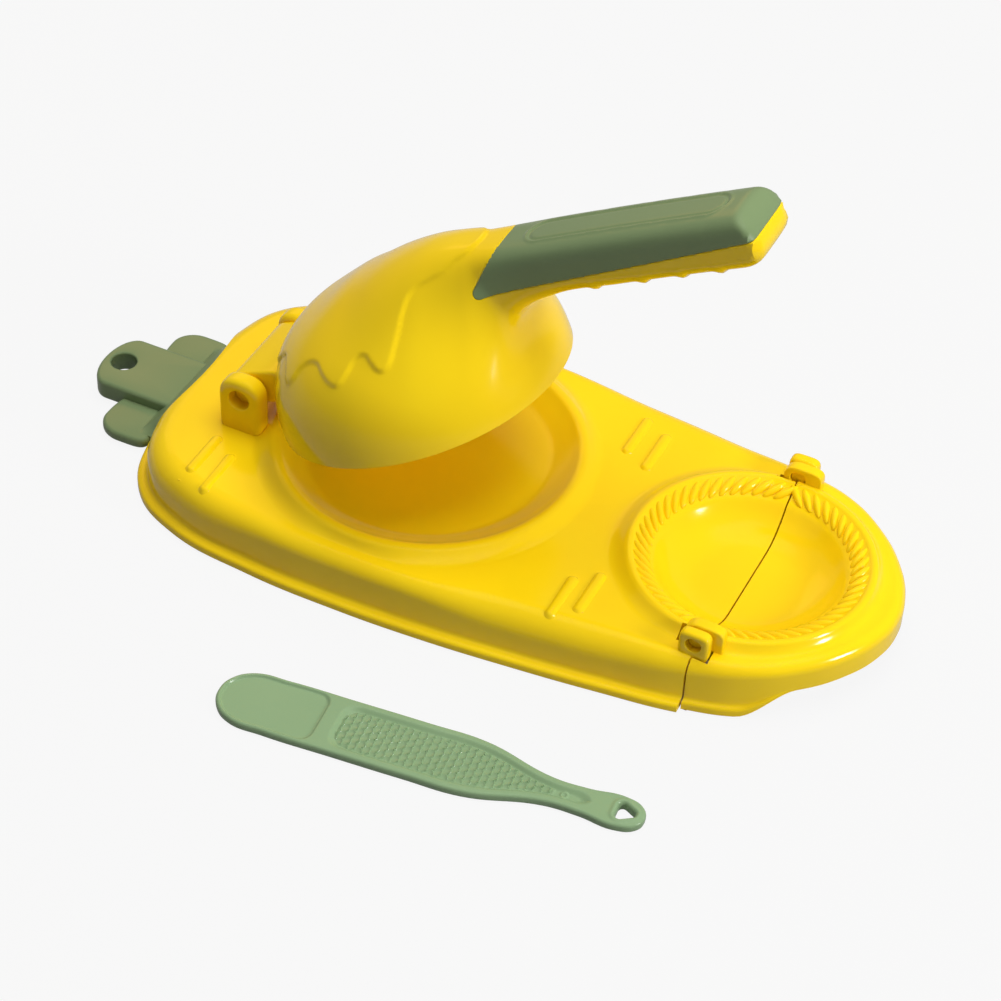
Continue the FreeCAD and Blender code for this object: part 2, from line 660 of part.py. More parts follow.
def press_lid():
    """Domed lid with its hinge tab, hollow neck and handle trough, and posts for the press plate."""
    outer = dome_solid(0.0)
    rear = lid_axis_x - tab_rear
    tab = box(rear, -dome_radius + dome_wall * 2, -tab_half, tab_half,
              lid_axis_height - tab_below, lid_axis_height + tab_above)
    rear_edges = [e for e in tab.Edges if abs(e.BoundBox.XMax - rear) < edge_match]
    tab = tab.makeFillet(tab_round, [e for e in rear_edges if e.BoundBox.YLength > tab_half])
    body = fused(outer, handle_solid(0.0), *finger_ridges())
    body = body.fuse(tab)
    inner = dome_solid(dome_wall)
    trough = handle_solid(grip_wall)
    body = body.cut(inner).cut(trough).cut(cover_room(-grip_fit))
    post_foot = plate_bottom + plate_thickness + plate_post_fit
    posts = []
    for x, y in post_places():
        post = rod_z(plate_post_radius, x, y, post_foot, dome_rim_height + dome_height)
        posts.append(post.common(dome_solid(dome_wall / 2)))
    body = body.multiFuse(posts)
    for s in sides:
        y0, y1 = sorted((s * (tab_half - lid_pin_engage - hinge_side_gap), s * (tab_half + overrun)))
        body = body.cut(rod_y(lid_pin_radius + pin_run_gap, lid_axis_x, lid_axis_height, y0, y1))
    return body


def grip_cover():
    """Cover shell on the handle, with snap tongues that reach down into the trough."""
    shell = handle_solid(0.0).common(cover_room(0.0)).cut(handle_solid(grip_wall))
    inside = handle_solid(grip_wall + grip_fit)
    upper = handle_solid(grip_wall / 2).common(cover_room(grip_fit))
    for share in snap_shares:
        x = grip_start + share * grip_length
        z = dome_rim_height + root_parting + share * (tip_parting - root_parting)
        for s in sides:
            y0, y1 = sorted((s * (grip_half_width - grip_wall - snap_thickness), s * grip_half_width))
            block_in = box(x - snap_width / 2, x + snap_width / 2, y0, y1, z - snap_depth, z + snap_depth)
            shell = shell.fuse(block_in.common(inside)).fuse(block_in.common(upper))
    return shell


def press_plate():
    """Disc that flattens the dough, with an upstand and sockets for the lid's posts."""
    top = plate_bottom + plate_thickness
    disc = rod_z(plate_radius, 0, 0, plate_bottom, top)
    disc = disc.makeFillet(plate_thickness / 2, level_edges(disc, plate_bottom))
    rim = rod_z(plate_radius, 0, 0, top, top + plate_rim_height)
    rim = rim.cut(rod_z(plate_radius - plate_thickness, 0, 0, top, top + plate_rim_height))
    bore = plate_post_radius + plate_post_fit
    socket_radius = bore + plate_socket_wall
    sockets = [rod_z(socket_radius, x, y, top, top + plate_socket_height) for x, y in post_places()]
    plate = fused(disc, rim, *sockets)
    for x, y in post_places():
        plate = plate.cut(rod_z(bore, x, y, top, top + plate_socket_height + overrun))
    return plate


def rounded_plate(plate, z0, z1):
    """Rounds a plate's top and bottom edges except where it joins the root."""
    rims = level_edges(plate, z0) + level_edges(plate, z1)
    return plate.makeFillet(leaf_round, [e for e in rims if e.BoundBox.XMin < -leaf_crease - overrun])


def leaf_hanger():
    """Three-lobed leaf with a hanging hole, a ramp up to the deck and a tongue under it."""
    run = leaf_root_depth + leaf_root_bow
    side_top = leaf_gap + leaf_side_thickness
    slope = (leaf_ramp_top - side_top) / run
    tip = rod_z(leaf_mid_half, -leaf_mid_reach + leaf_mid_half, 0, leaf_mid_under, leaf_mid_top)
    stem = box(-leaf_mid_reach + leaf_mid_half, -leaf_crease + run / 2, -leaf_mid_half, leaf_mid_half,
               leaf_mid_under, leaf_mid_top)
    pieces = [rounded_plate(fused(tip, stem).removeSplitter(), leaf_mid_under, leaf_mid_top)]
    waist = leaf_lobe_radius * leaf_lobe_waist_share
    for s in sides:
        tip = rod_z(leaf_lobe_radius, -leaf_lobe_back, s * leaf_lobe_side, leaf_gap, side_top)
        y0, y1 = sorted((0.0, s * leaf_lobe_side))
        arm = box(-leaf_lobe_back - waist, -leaf_crease + overrun, y0, y1, leaf_gap, side_top)
        y0, y1 = sorted((0.0, s * (leaf_lobe_side + waist)))
        foot = box(-leaf_lobe_back, -leaf_crease + overrun, y0, y1, leaf_gap, side_top)
        lobe = fused(tip, arm, foot).removeSplitter()
        pieces.append(rounded_plate(lobe, leaf_gap, side_top))
    root = slab(leaf_root_wire(0.0), leaf_gap, leaf_ramp_top)
    ramp = [(-leaf_crease - overrun, side_top - overrun * slope), (-leaf_crease + run, leaf_ramp_top),
            (-leaf_crease + run, far_reach), (-leaf_crease - overrun, far_reach)]
    root = root.cut(prism_y(ramp, -far_reach, far_reach))
    tongue = box(-leaf_crease, -leaf_crease + run + leaf_tongue_length, -leaf_tongue_half, leaf_tongue_half,
                 leaf_gap, leaf_gap + leaf_tongue_thickness)
    leaf = fused(root, tongue, *pieces)
    return leaf.cut(rod_z(leaf_hole_radius, -leaf_hole_back, 0, -overrun, far_reach))


def spatula_place(along, across):
    """Point of the spatula's outline in the frame of the part."""
    turn = math.radians(spatula_turn)
    x = -spatula_back + along * math.cos(turn) - across * math.sin(turn)
    y = -spatula_front + along * math.sin(turn) + across * math.cos(turn)
    return Vector(x, y, 0)


def filling_spatula():
    """Flat spatula: paddle blade, recessed panels, neck and tail with a hanging hole."""
    half = [(spatula_length * u, spatula_half_width * v) for u, v in spatula_blade_shares]
    half += [(spatula_length * u, spatula_neck_half * v) for u, v in spatula_neck_shares]
    half += [(spatula_length * u, spatula_tail_half * v) for u, v in spatula_tail_shares]
    ring = half + [(u, -v) for u, v in half[-2:0:-1]]
    body = slab(smooth_loop([spatula_place(u, v) for u, v in ring[::-1]]), 0, spatula_thickness)
    body = body.makeFillet(spatula_round, level_edges(body, 0) + level_edges(body, spatula_thickness))
    start, end, breadth = spatula_blade_panel_shares
    u0, u1, v = spatula_length * start, spatula_length * end, spatula_half_width * breadth
    blade = [(u0, 0), (u0 + v / 2, v), (u1, v), (u1 + v / 2, 0), (u1, -v), (u0 + v / 2, -v)]
    start, end, wide, narrow = spatula_grip_panel_shares
    u0, u1 = spatula_length * start, spatula_length * end
    v, w = spatula_half_width * wide, spatula_half_width * narrow
    grip = [(u0, 0), (u0 + w, v), ((u0 + u1) / 2, v), (u1, w), (u1, -w), ((u0 + u1) / 2, -v), (u0 + w, -v)]
    for panel in (blade, grip):
        wire = Part.makePolygon([spatula_place(u, v) for u, v in panel + panel[:1]])
        body = body.cut(slab(wire, spatula_thickness - spatula_panel_depth, spatula_thickness + overrun))
    middle = spatula_length - spatula_tail_half
    turns = [2 * math.pi * i / spatula_eye_corners for i in range(spatula_eye_corners)]
    corners = [spatula_place(middle + spatula_eye * math.cos(t), spatula_eye * math.sin(t)) for t in turns]
    bottom, top = -overrun, spatula_thickness + overrun
    for i, corner in enumerate(corners):
        side = (corner - corners[i - 1]).normalize() * spatula_eye_corner
        out = Vector(side.y, -side.x, 0)
        strip = Part.makePolygon([corners[i - 1], corner, corner + out, corners[i - 1] + out, corners[i - 1]])
        body = body.cut(rod_z(spatula_eye_corner, corner.x, corner.y, bottom, top))
        body = body.cut(slab(strip, bottom, top))
    return body.cut(slab(Part.makePolygon(corners + corners[:1]), bottom, top))


block = outer_block(lip_width)
cavity = hollow(wall)
mould = mould_body()

nodes = {
    "base_shell": base_shell(),
    "flap_mould_half": flap_half(),
    "press_lid": opened(press_lid()),
    "grip_cover": opened(grip_cover()),
    "press_plate": opened(press_plate()),
    "leaf_hanger": leaf_hanger(),
    "filling_spatula": filling_spatula(),
}
for name, side in (("near", -1), ("far", 1)):
    nodes["lid_hinge_pin_" + name] = lid_pin(side)
    nodes["flap_hinge_pin_" + name] = flap_pin(side)
for name, (foot_x, foot_y) in zip(("rear_near", "rear_far", "front_near", "front_far"), foot_places()):
    nodes["foot_pad_" + name] = rod_z(foot_radius, foot_x, foot_y, 0, foot_height)

for name, shape in nodes.items():
    shape.translate(Vector(0, 0, -dish_floor_height))
    shape.exportStep("parts/" + name + ".step")
    print(name, "solids", len(shape.Solids), "valid", shape.isValid(), "volume", round(shape.Volume, 1))
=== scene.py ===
# %% [markdown]
# # Dressing a dumpling maker
# The maker has two stations on one yellow base: a round dish under a domed press lid, and a folding
# mould with a crimped rim. A leaf to hang it by and a loose filling spatula are sage green. The CAD
# model already puts every solid in its place, so the first step only loads it.

# %% Load the imported model
import json
import math

import bmesh
import bpy
import numpy as np
from mathutils import Matrix, Vector

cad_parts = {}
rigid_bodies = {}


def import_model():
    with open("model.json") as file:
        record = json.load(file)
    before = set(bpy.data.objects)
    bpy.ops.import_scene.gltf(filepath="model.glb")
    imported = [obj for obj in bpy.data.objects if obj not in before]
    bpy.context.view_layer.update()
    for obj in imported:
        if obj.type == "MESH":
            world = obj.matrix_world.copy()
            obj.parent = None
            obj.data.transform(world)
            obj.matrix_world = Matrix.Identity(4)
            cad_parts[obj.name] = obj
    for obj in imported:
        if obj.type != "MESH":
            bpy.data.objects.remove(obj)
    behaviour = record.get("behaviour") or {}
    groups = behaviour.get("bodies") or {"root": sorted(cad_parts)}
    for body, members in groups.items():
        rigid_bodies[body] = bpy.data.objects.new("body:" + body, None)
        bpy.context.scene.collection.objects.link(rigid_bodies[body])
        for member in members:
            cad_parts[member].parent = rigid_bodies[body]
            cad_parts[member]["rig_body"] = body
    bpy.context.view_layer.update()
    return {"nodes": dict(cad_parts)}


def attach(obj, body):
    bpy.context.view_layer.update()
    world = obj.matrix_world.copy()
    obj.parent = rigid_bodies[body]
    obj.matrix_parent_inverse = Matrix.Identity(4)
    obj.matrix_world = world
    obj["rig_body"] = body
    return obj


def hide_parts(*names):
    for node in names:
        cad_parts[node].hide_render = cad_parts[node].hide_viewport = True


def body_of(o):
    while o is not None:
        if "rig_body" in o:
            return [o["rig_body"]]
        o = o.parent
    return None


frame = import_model()
print("CAD nodes:", ", ".join(sorted(frame["nodes"])))

# %% [markdown]
# ## Working in millimetres above the table
# The frame is in metres and its origin is the middle of the dish floor. A maker would rather think in
# millimetres above the table, so every piece is modelled that way and one matrix takes the finished
# mesh into the frame. The piece's object stays at the origin, as a CAD node's does.

# %% From a bmesh to a piece of the maker
DISH_FLOOR = 19.0
TO_FRAME = Matrix.Scale(0.001, 4) @ Matrix.Translation((0, 0, -DISH_FLOOR))
SHARP = math.radians(42)


def placed(name, data):
    """New object in the scene."""
    made = bpy.data.objects.new(name, data)
    bpy.context.scene.collection.objects.link(made)
    return made


def mesh_of(name, bm):
    """Turns a bmesh into a mesh and frees it."""
    mesh = bpy.data.meshes.new(name)
    bm.to_mesh(mesh)
    bm.free()
    return mesh


def finished_mesh(name, bm):
    """Mesh in the frame, with smooth faces and creases where two faces meet at a steep angle."""
    bm.transform(TO_FRAME)
    mesh = mesh_of(name, bm)
    mesh.shade_smooth()
    mesh.set_sharp_from_angle(angle=SHARP)
    return mesh


def piece(name, bm, body, slot, *nodes):
    """Object that rides on a body and stands for CAD nodes, which it hides; the slot is not used."""
    mesh = finished_mesh(name, bm)
    made = placed(name, mesh)
    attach(made, body)
    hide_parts(*nodes)
    print(name, "has", len(mesh.polygons), "faces, size in mm",
          [round(side * 1000, 1) for side in made.dimensions])
    return made


def through_modifiers(bm, *modifiers):
    """A new bmesh after modifiers, each a type and its settings, have worked on it."""
    mesh = mesh_of("work", bm)
    work = placed("work", mesh)
    for kind, settings in modifiers:
        modifier = work.modifiers.new(kind, kind)
        for key, value in settings.items():
            setattr(modifier, key, value)
    shaped = bpy.data.meshes.new_from_object(work.evaluated_get(bpy.context.evaluated_depsgraph_get()))
    bpy.data.objects.remove(work)
    made = bmesh.new()
    made.from_mesh(shaped)
    bpy.data.meshes.remove(shaped)
    bpy.data.meshes.remove(mesh)
    return made


def smooth(value, low, high):
    """0 below low, 1 above high and a soft step between."""
    t = min(max((value - low) / (high - low), 0.0), 1.0)
    return t * t * (3 - 2 * t)


print("the dish floor is", DISH_FLOOR, "mm above the table")

# %% [markdown]
# ## The wall's outline
# Seen from above, the base and the folding flap share one outline: wide round the dish, narrower to a
# round tip. It could be typed in as hundreds of corners, but a closed Bezier curve with automatic
# handles needs only a few points for each side and is smooth between them.

# %% A smooth outline from a few points
FOLD_X = 124.0
HALF_OUTLINE = [(-97.5, 0.0), (-96.0, 28.1), (-87.3, 48.6), (-68.2, 60.3), (-35.1, 65.8), (0.0, 67.0),
                (32.2, 66.0), (64.5, 63.3), (95.5, 59.8), (124.0, 55.5), (142.5, 49.7), (157.8, 39.4),
                (170.1, 25.3), (176.6, 11.9), (178.5, 0.0)]


def smooth_outline(points, resolution):
    """Mesh of one closed ring of edges through points."""
    curve = bpy.data.curves.new("outline", "CURVE")
    curve.dimensions = "3D"
    spline = curve.splines.new("BEZIER")
    spline.bezier_points.add(len(points) - 1)
    for corner, (x, y) in zip(spline.bezier_points, points):
        corner.co = (x, y, 0)
        corner.handle_left_type = "AUTO"
        corner.handle_right_type = "AUTO"
    spline.use_cyclic_u = True
    spline.resolution_u = resolution
    holder = placed("outline", curve)
    bpy.context.view_layer.update()
    ring = bpy.data.meshes.new_from_object(holder.evaluated_get(bpy.context.evaluated_depsgraph_get()))
    bpy.data.objects.remove(holder)
    return ring


def both_sides(half):
    """Closed outline from one half, whose ends lie on the middle line."""
    return list(half) + [(x, -y) for x, y in half[-2:0:-1]]


def flat_corners(ring):
    return np.array([v.co[:2] for v in ring.vertices])


wall_ring = smooth_outline(both_sides(HALF_OUTLINE), 10)
wall_points = flat_corners(wall_ring)
print("outline corners:", len(wall_points), "from", wall_points.min(0), "to", wall_points.max(0))

# %% [markdown]
# ## Rings that remember where they started
# Most of the shell is a ring pushed through a profile: the outline becomes flange, wall and rolled edge,
# and two circles become the dish and the mould. Extruding a ring copies the data stored on its corners,
# so each corner keeps its starting spot and its way outwards in two layers. A profile step is then only
# a distance outwards and a height.

# %% Extruding a ring through a profile


def new_rings():
    """Empty bmesh with the two layers that a ring's corners need."""
    bm = bmesh.new()
    bm.verts.layers.float_vector.new("spot")
    bm.verts.layers.float_vector.new("out")
    return bm


def remember(bm, corner, spot, out):
    corner[bm.verts.layers.float_vector["spot"]] = spot
    corner[bm.verts.layers.float_vector["out"]] = out


def put(bm, corner, step):
    """Moves a corner to a step of the profile: numbers, or a function of its spot and way out."""
    spot = corner[bm.verts.layers.float_vector["spot"]]
    out = corner[bm.verts.layers.float_vector["out"]]
    outwards, height = step(spot, out) if callable(step) else step
    corner.co = Vector((spot.x, spot.y, 0)) + Vector((out.x, out.y, 0)) * outwards
    corner.co.z = height


def extruded(bm, edges):
    """New edges and corners after one extrude."""
    made = bmesh.ops.extrude_edge_only(bm, edges=edges)["geom"]
    corners = {item for item in made if isinstance(item, bmesh.types.BMVert)}
    rim = [item for item in made if isinstance(item, bmesh.types.BMEdge) and corners.issuperset(item.verts)]
    return rim, corners


def sweep(bm, edges, steps):
    """Extrudes a ring once for each step and returns the last ring."""
    for step in steps:
        edges, corners = extruded(bm, edges)
        for corner in corners:
            put(bm, corner, step)
    return edges


def circle(bm, x, y, segments, step):
    """Ring of edges round a middle, put at the first step of its profile."""
    middle = Matrix.Translation((x, y, 0))
    made = bmesh.ops.create_circle(bm, segments=segments, radius=1.0, matrix=middle)["verts"]
    for corner in made:
        remember(bm, corner, Vector((x, y, 0)), corner.co - Vector((x, y, 0)))
        put(bm, corner, step)
    return list({edge for corner in made for edge in corner.link_edges})


print("a ring's corners remember:", ", ".join(new_rings().verts.layers.float_vector.keys()))

# %% [markdown]
# ## One skin for base and flap
# On the real maker the deck rolls over into the wall, a flange runs round the foot, the collar and the
# crimp rim rise out of the deck in soft curves, and the flap's skirt is cut away round the tip for
# fingers. Building base and flap as one skin and cutting it at the fold line makes both halves of the
# mould meet exactly. Flat deck between the rings needs no modelling: a triangle fill closes it.

# %% The skin's profiles
DECK = 20.5
BASE_FOOT = 0.8
CREST_OUT, CREST_TOP = 57.2, 23.8
NOTCH_START, NOTCH_END, NOTCH_FOOT = 17.0, 34.0, 9.6
ROLL_STEPS = 9


def roll_at(x):
    """Radius of the rolled deck edge: wide along the base, tighter beside the dish and round the flap."""
    return 9.0 - 3.4 * (1 - smooth(abs(x), 20, 62)) - 4.7 * smooth(x, 92, 150)


def wall_steps(flange, notch):
    """Profile of the flange, wall and rolled edge, from the foot up."""
    def lifted(spot):
        return notch * smooth(spot.x - FOLD_X, NOTCH_START, NOTCH_END)

    def foot(share, rise):
        def step(spot, out):
            keep = 1 - lifted(spot)
            low = BASE_FOOT + (NOTCH_FOOT - BASE_FOOT) * lifted(spot)
            return flange * share * keep, low + rise * (0.25 + 0.75 * keep)
        return step

    def roll(turn):
        def step(spot, out):
            radius = roll_at(spot.x)
            return -radius * (1 - math.cos(turn)), DECK - radius * (1 - math.sin(turn))
        return step

    steps = [foot(share, rise) for share, rise in
             ((1.0, 1.9), (0.93, 2.55), (0.76, 3.0), (0.5, 3.2), (0.22, 3.4), (0.06, 3.8), (0.0, 4.6))]
    steps += [roll(math.pi / 2 * i / ROLL_STEPS) for i in range(ROLL_STEPS + 1)]
    steps.append(lambda spot, out: (-roll_at(spot.x) - 0.5, DECK))
    return foot(1.0, 0.0), steps


def dish_foot(out):
    return min(63.0, 60.0 / max(abs(out.y), 0.01))


def dish_steps():
    """Profile of the collar and dish, from the deck inwards."""
    def slope(share):
        def step(spot, out):
            reach = CREST_OUT + (dish_foot(out) - CREST_OUT) * share
            return reach, DECK + 2.6 * (1 - share) ** 1.8
        return step

    steps = [slope(share) for share in (0.88, 0.72, 0.56, 0.40, 0.26, 0.13, 0.0)]
    steps += [(56.5, 23.5), (55.7, 23.74), (55.0, CREST_TOP), (54.2, 23.72), (53.4, 23.42), (52.6, 22.9),
              (51.6, 22.2), (49.5, 21.15), (47.0, 20.1), (45.2, 19.4), (44.0, 19.1), (43.0, 19.0), (41.0, 19.0)]
    return lambda spot, out: (dish_foot(out), DECK), steps


def mould_foot(out):
    return 46.7 + 3.0 * smooth(-out.x, 0.1, 0.6)


def mould_steps():
    """Profile of the crimp rim, ribbed ring and bowl, from the deck inwards."""
    def skirt(share, rise):
        return lambda spot, out: (43.4 + (mould_foot(out) - 43.4) * share, DECK + rise)

    steps = [skirt(share, rise) for share, rise in
             ((0.8, 0.2), (0.6, 0.6), (0.42, 1.15), (0.26, 1.8), (0.12, 2.45), (0.02, 2.95), (-0.1, 3.25))]
    steps += [(42.5, 23.88), (41.9, 23.9), (41.3, 23.78), (40.8, 23.45), (40.2, 23.0), (38.6, 22.2),
              (36.4, 21.1), (34.4, 20.1), (33.2, 19.3), (32.2, 18.2), (30.8, 16.6), (28.8, 14.8),
              (26.2, 13.0), (23.2, 11.5), (20.5, 10.6), (18.0, 10.25), (15.0, 10.2), (12.0, 10.2)]
    return lambda spot, out: (mould_foot(out), DECK), steps


def shell_skin(flange, notch):
    """Whole skin of base and flap, open underneath."""
    bm = new_rings()
    bm.from_mesh(wall_ring)
    first, steps = wall_steps(flange, notch)
    ring = bm.edges[:]
    for corner in bm.verts:
        ahead, behind = [edge.other_vert(corner).co for edge in corner.link_edges]
        along = (ahead - behind).normalized()
        out = Vector((along.y, -along.x, 0))
        if out.dot(corner.co - Vector((40, 0, 0))) < 0:
            out.negate()
        remember(bm, corner, corner.co, out)
    for corner in bm.verts:
        put(bm, corner, first)
    deck_edges = sweep(bm, ring, steps)
    for x, segments, (start, inner) in ((0.0, 144, dish_steps()), (FOLD_X, 168, mould_steps())):
        ring = circle(bm, x, 0.0, segments, start)
        deck_edges += ring
        floor_ring = sweep(bm, ring, inner)
        bmesh.ops.contextual_create(bm, geom=floor_ring)
    bmesh.ops.triangle_fill(bm, use_beauty=True, edges=deck_edges, normal=(0, 0, 1))
    bmesh.ops.recalc_face_normals(bm, faces=bm.faces[:])
    return bm


print("steps in the dish and the mould:", len(dish_steps()[1]), len(mould_steps()[1]))

# %% [markdown]
# ## Cutting the skin
# The skin is cut at the fold line, where a wall closes each half. It also needs pockets: the flap's ears
# swing down into the deck beside the hinge, and the leaf's root fills a bowed notch at the rear. Bisecting
# along a few planes and deleting the faces inside all of them gives clean straight edges, where a boolean
# on an open skin could fail.

# %% Halves, pockets and walls
WALL = 2.1
FOLD_GAP = 0.6


def bisected(bm, point, normal, near=lambda place: True, **keep):
    """Cuts the faces whose middle is near along a plane."""
    local = [face for face in bm.faces if near(face.calc_center_bounds())]
    parts = {item for face in local for item in (*face.verts, *face.edges)}
    bmesh.ops.bisect_plane(bm, geom=local + list(parts), dist=0.0005, plane_co=point, plane_no=normal, **keep)


def inside_all(place, planes):
    return all((place - Vector(point)).dot(Vector(normal)) < 0 for point, normal in planes)


def cut_out(bm, planes, near):
    """Deletes the faces that lie inside all planes, each a point and its outward normal."""
    for point, normal in planes:
        bisected(bm, point, normal, near)
    middles = [(face, face.calc_center_median()) for face in bm.faces]
    inside = [face for face, middle in middles if near(middle) and inside_all(middle, planes)]
    bmesh.ops.delete(bm, geom=inside, context="FACES")


def box_planes(x0, x1, y0, y1):
    return [((x0, 0, 0), (-1, 0, 0)), ((x1, 0, 0), (1, 0, 0)),
            ((0, y0, 0), (0, -1, 0)), ((0, y1, 0), (0, 1, 0))]


def span(side, inner, outer):
    """From low to high across the maker, on the near (-1) or far (1) side."""
    return sorted((side * inner, side * outer))


def open_edges(bm, here):
    """Edges of the skin's rim with both ends in a place."""
    return [edge for edge in bm.edges if edge.is_boundary and all(here(v.co) for v in edge.verts)]


def dropped(bm, edges, height):
    """Extrudes edges straight down to a height."""
    rim, corners = extruded(bm, edges)
    for corner in corners:
        corner.co.z = height
    return rim


def fold_half(bm, x, side):
    """Keeps the half of the skin behind (side -1) or ahead of (side 1) a plane and closes it with a wall."""
    bisected(bm, (x, 0, 0), (-side, 0, 0), clear_outer=True)
    dropped(bm, open_edges(bm, lambda place: abs(place.x - x) < 0.01), BASE_FOOT)
    bmesh.ops.remove_doubles(bm, verts=bm.verts[:], dist=0.001)
    bmesh.ops.recalc_face_normals(bm, faces=bm.faces[:])


def pocket(bm, x0, x1, y0, y1, depth):
    """Square hole in the deck with walls that run down from its edges."""
    def within(place, margin, low):
        return (x0 - margin < place.x < x1 + margin and y0 - margin < place.y < y1 + margin
                and place.z > low)

    cut_out(bm, box_planes(x0, x1, y0, y1), lambda place: within(place, 4, 9))
    dropped(bm, open_edges(bm, lambda place: within(place, 0.01, depth)), depth)


def walled(bm):
    """Gives the open skin its wall."""
    bmesh.ops.recalc_face_normals(bm, faces=bm.faces[:])
    settings = {"thickness": WALL, "offset": -1.0, "use_even_offset": False}
    return through_modifiers(bm, ("SOLIDIFY", settings))


# %% [markdown]
# ## Base and flap
# The leaf's notch is a box whose front is bowed, so its planes follow an arc. Both halves start from the
# same skin. The base has the wider flange, and only the flap has the finger cut-away.

# %% Cutting base and flap out of the skin
LEAF_HALF, LEAF_CORNER, LEAF_BOW = 28.2, -94.7, 3.2
BASE_FLANGE, FLAP_FLANGE = 4.0, 2.0
BOW_PLANES = 9
bow_radius = (LEAF_HALF ** 2 + LEAF_BOW ** 2) / (2 * LEAF_BOW)
bow_middle = LEAF_CORNER + LEAF_BOW - bow_radius
leaf_notch = box_planes(-200, 0, -LEAF_HALF, LEAF_HALF)
for i in range(BOW_PLANES):
    lean = math.asin(LEAF_HALF / bow_radius) * (2 * i / (BOW_PLANES - 1) - 1)
    out = Vector((math.cos(lean), math.sin(lean), 0))
    leaf_notch.append((Vector((bow_middle, 0, 0)) + out * bow_radius, out))

base = shell_skin(BASE_FLANGE, notch=0.0)
cut_out(base, leaf_notch, lambda place: place.x < -84 and abs(place.y) < 40)
dropped(base, open_edges(base, lambda place: place.x < -84 and abs(place.y) < LEAF_HALF + 0.1
                         and place.z > BASE_FOOT + 0.01), BASE_FOOT)
flap = shell_skin(FLAP_FLANGE, notch=1.0)
for side in (-1, 1):
    pocket(base, 116.4, FOLD_X + 1, *span(side, 41.8, 46.9), depth=13.0)
    pocket(flap, FOLD_X - 1, FOLD_X + 5.9, *span(side, 46.5, 51.7), depth=16.0)
fold_half(base, FOLD_X - FOLD_GAP / 2, -1)
fold_half(flap, FOLD_X + FOLD_GAP / 2, 1)
base = walled(base)
flap = walled(flap)
print("base skin faces:", len(base.faces), "flap skin faces:", len(flap.faces))

# %% [markdown]
# ## Ears and lugs
# The hinges are upright plates with a round hole for the pin and thumb-soft edges. Instead of cutting a
# hole into a plate, the plate grows out of the hole: a circle is extruded to the plate's outline, the
# flat ring is extruded to its thickness, and its edges are bevelled. The outline is a squarish curve
# with its own reach in each of the four quarters.

# %% Plates that grow out of their hole
PIN_SEAT = {"lid": 4.02, "flap": 2.82}


def squarish(direction, quarters):
    """Reach of an outline in a direction, from (sideways, up, squareness) for four quarters."""
    across, up = direction
    wide, tall, power = quarters[(across >= 0, up >= 0)]
    return ((abs(across) / wide) ** power + (abs(up) / tall) ** power) ** (-1 / power)


def thickened(bm, flat, way):
    """Extrudes flat faces along a way and returns the new corners."""
    made = bmesh.ops.extrude_face_region(bm, geom=flat)["geom"]
    corners = [item for item in made if isinstance(item, bmesh.types.BMVert)]
    bmesh.ops.translate(bm, vec=way, verts=corners)
    return corners


def bevelled(bm, edges, offset, segments=4):
    bmesh.ops.bevel(bm, geom=edges, offset=offset, offset_type="OFFSET", segments=segments, profile=0.5,
                    affect="EDGES", material=-1, clamp_overlap=True)


def drilled_plate(bm, middle, hole, outline, y0, y1, soft, hole_soft, segments=56):
    """Plate across Y from y0 to y1, drilled at middle (x, z). Its outline is quarters or a function."""
    x, z = middle
    upright = Matrix.Translation((x, y0, z)) @ Matrix.Rotation(math.pi / 2, 4, "X")
    ring = bmesh.ops.create_circle(bm, segments=segments, radius=hole, matrix=upright)["verts"]
    rim, corners = extruded(bm, list({edge for v in ring for edge in v.link_edges}))
    for v in corners:
        direction = Vector((v.co.x - x, v.co.z - z)).normalized()
        reach = outline(direction) if callable(outline) else squarish(direction, outline)
        v.co = (x + direction.x * reach, y0, z + direction.y * reach)
    flat = list({face for edge in rim for face in edge.link_faces})
    other_side = thickened(bm, flat, (0, y1 - y0, 0))
    faces = list({face for v in [*ring, *corners, *other_side] for face in v.link_faces})
    bmesh.ops.recalc_face_normals(bm, faces=faces)
    for inner, offset in ((False, soft), (True, hole_soft)):
        edges = [e for e in {edge for face in faces if face.is_valid for edge in face.edges}
                 if abs(e.verts[0].co.y - e.verts[1].co.y) < 0.01 and e.calc_face_angle(0) > 0.8
                 and (math.hypot(e.verts[0].co.x - x, e.verts[0].co.z - z) < hole + 0.1) == inner]
        bevelled(bm, edges, offset)


# %% [markdown]
# ## Outlines of the plates
# Each outline is told by its four quarters, ahead or behind and above or below the pin. A high squareness
# makes a straight foot that stands in the deck, and one near 2 makes a round top.

# %% Lid ears, lugs and flap ears
LID_AXIS = (-63.6, 34.5)
FLAP_AXIS = (FOLD_X, 24.8)
lid_ear_outline = {(True, True): (8.5, 8.0, 2.4), (False, True): (8.5, 8.0, 2.4),
                   (True, False): (8.5, 15.8, 9.0), (False, False): (8.5, 15.8, 9.0)}
lug_outline = {(True, True): (5.5, 4.8, 4.0), (False, True): (5.5, 4.8, 4.0),
               (True, False): (5.5, 8.2, 4.0), (False, False): (5.5, 9.1, 7.0)}
flap_ear_outline = {(True, True): (8.8, 4.9, 4.2), (False, True): (5.4, 4.9, 2.3),
                    (True, False): (8.8, 9.1, 9.0), (False, False): (5.4, 5.4, 2.0)}
for side in (-1, 1):
    drilled_plate(base, LID_AXIS, PIN_SEAT["lid"], lid_ear_outline, *span(side, 17.2, 24.8), 2.2, 0.5)
    drilled_plate(base, FLAP_AXIS, PIN_SEAT["flap"], lug_outline, *span(side, 46.9, 51.3), 1.3, 0.4)
    drilled_plate(flap, FLAP_AXIS, PIN_SEAT["flap"] + 0.04, flap_ear_outline, *span(side, 42.2, 46.5), 1.1, 0.4)
print("faces with ears and lugs:", len(base.faces), len(flap.faces))

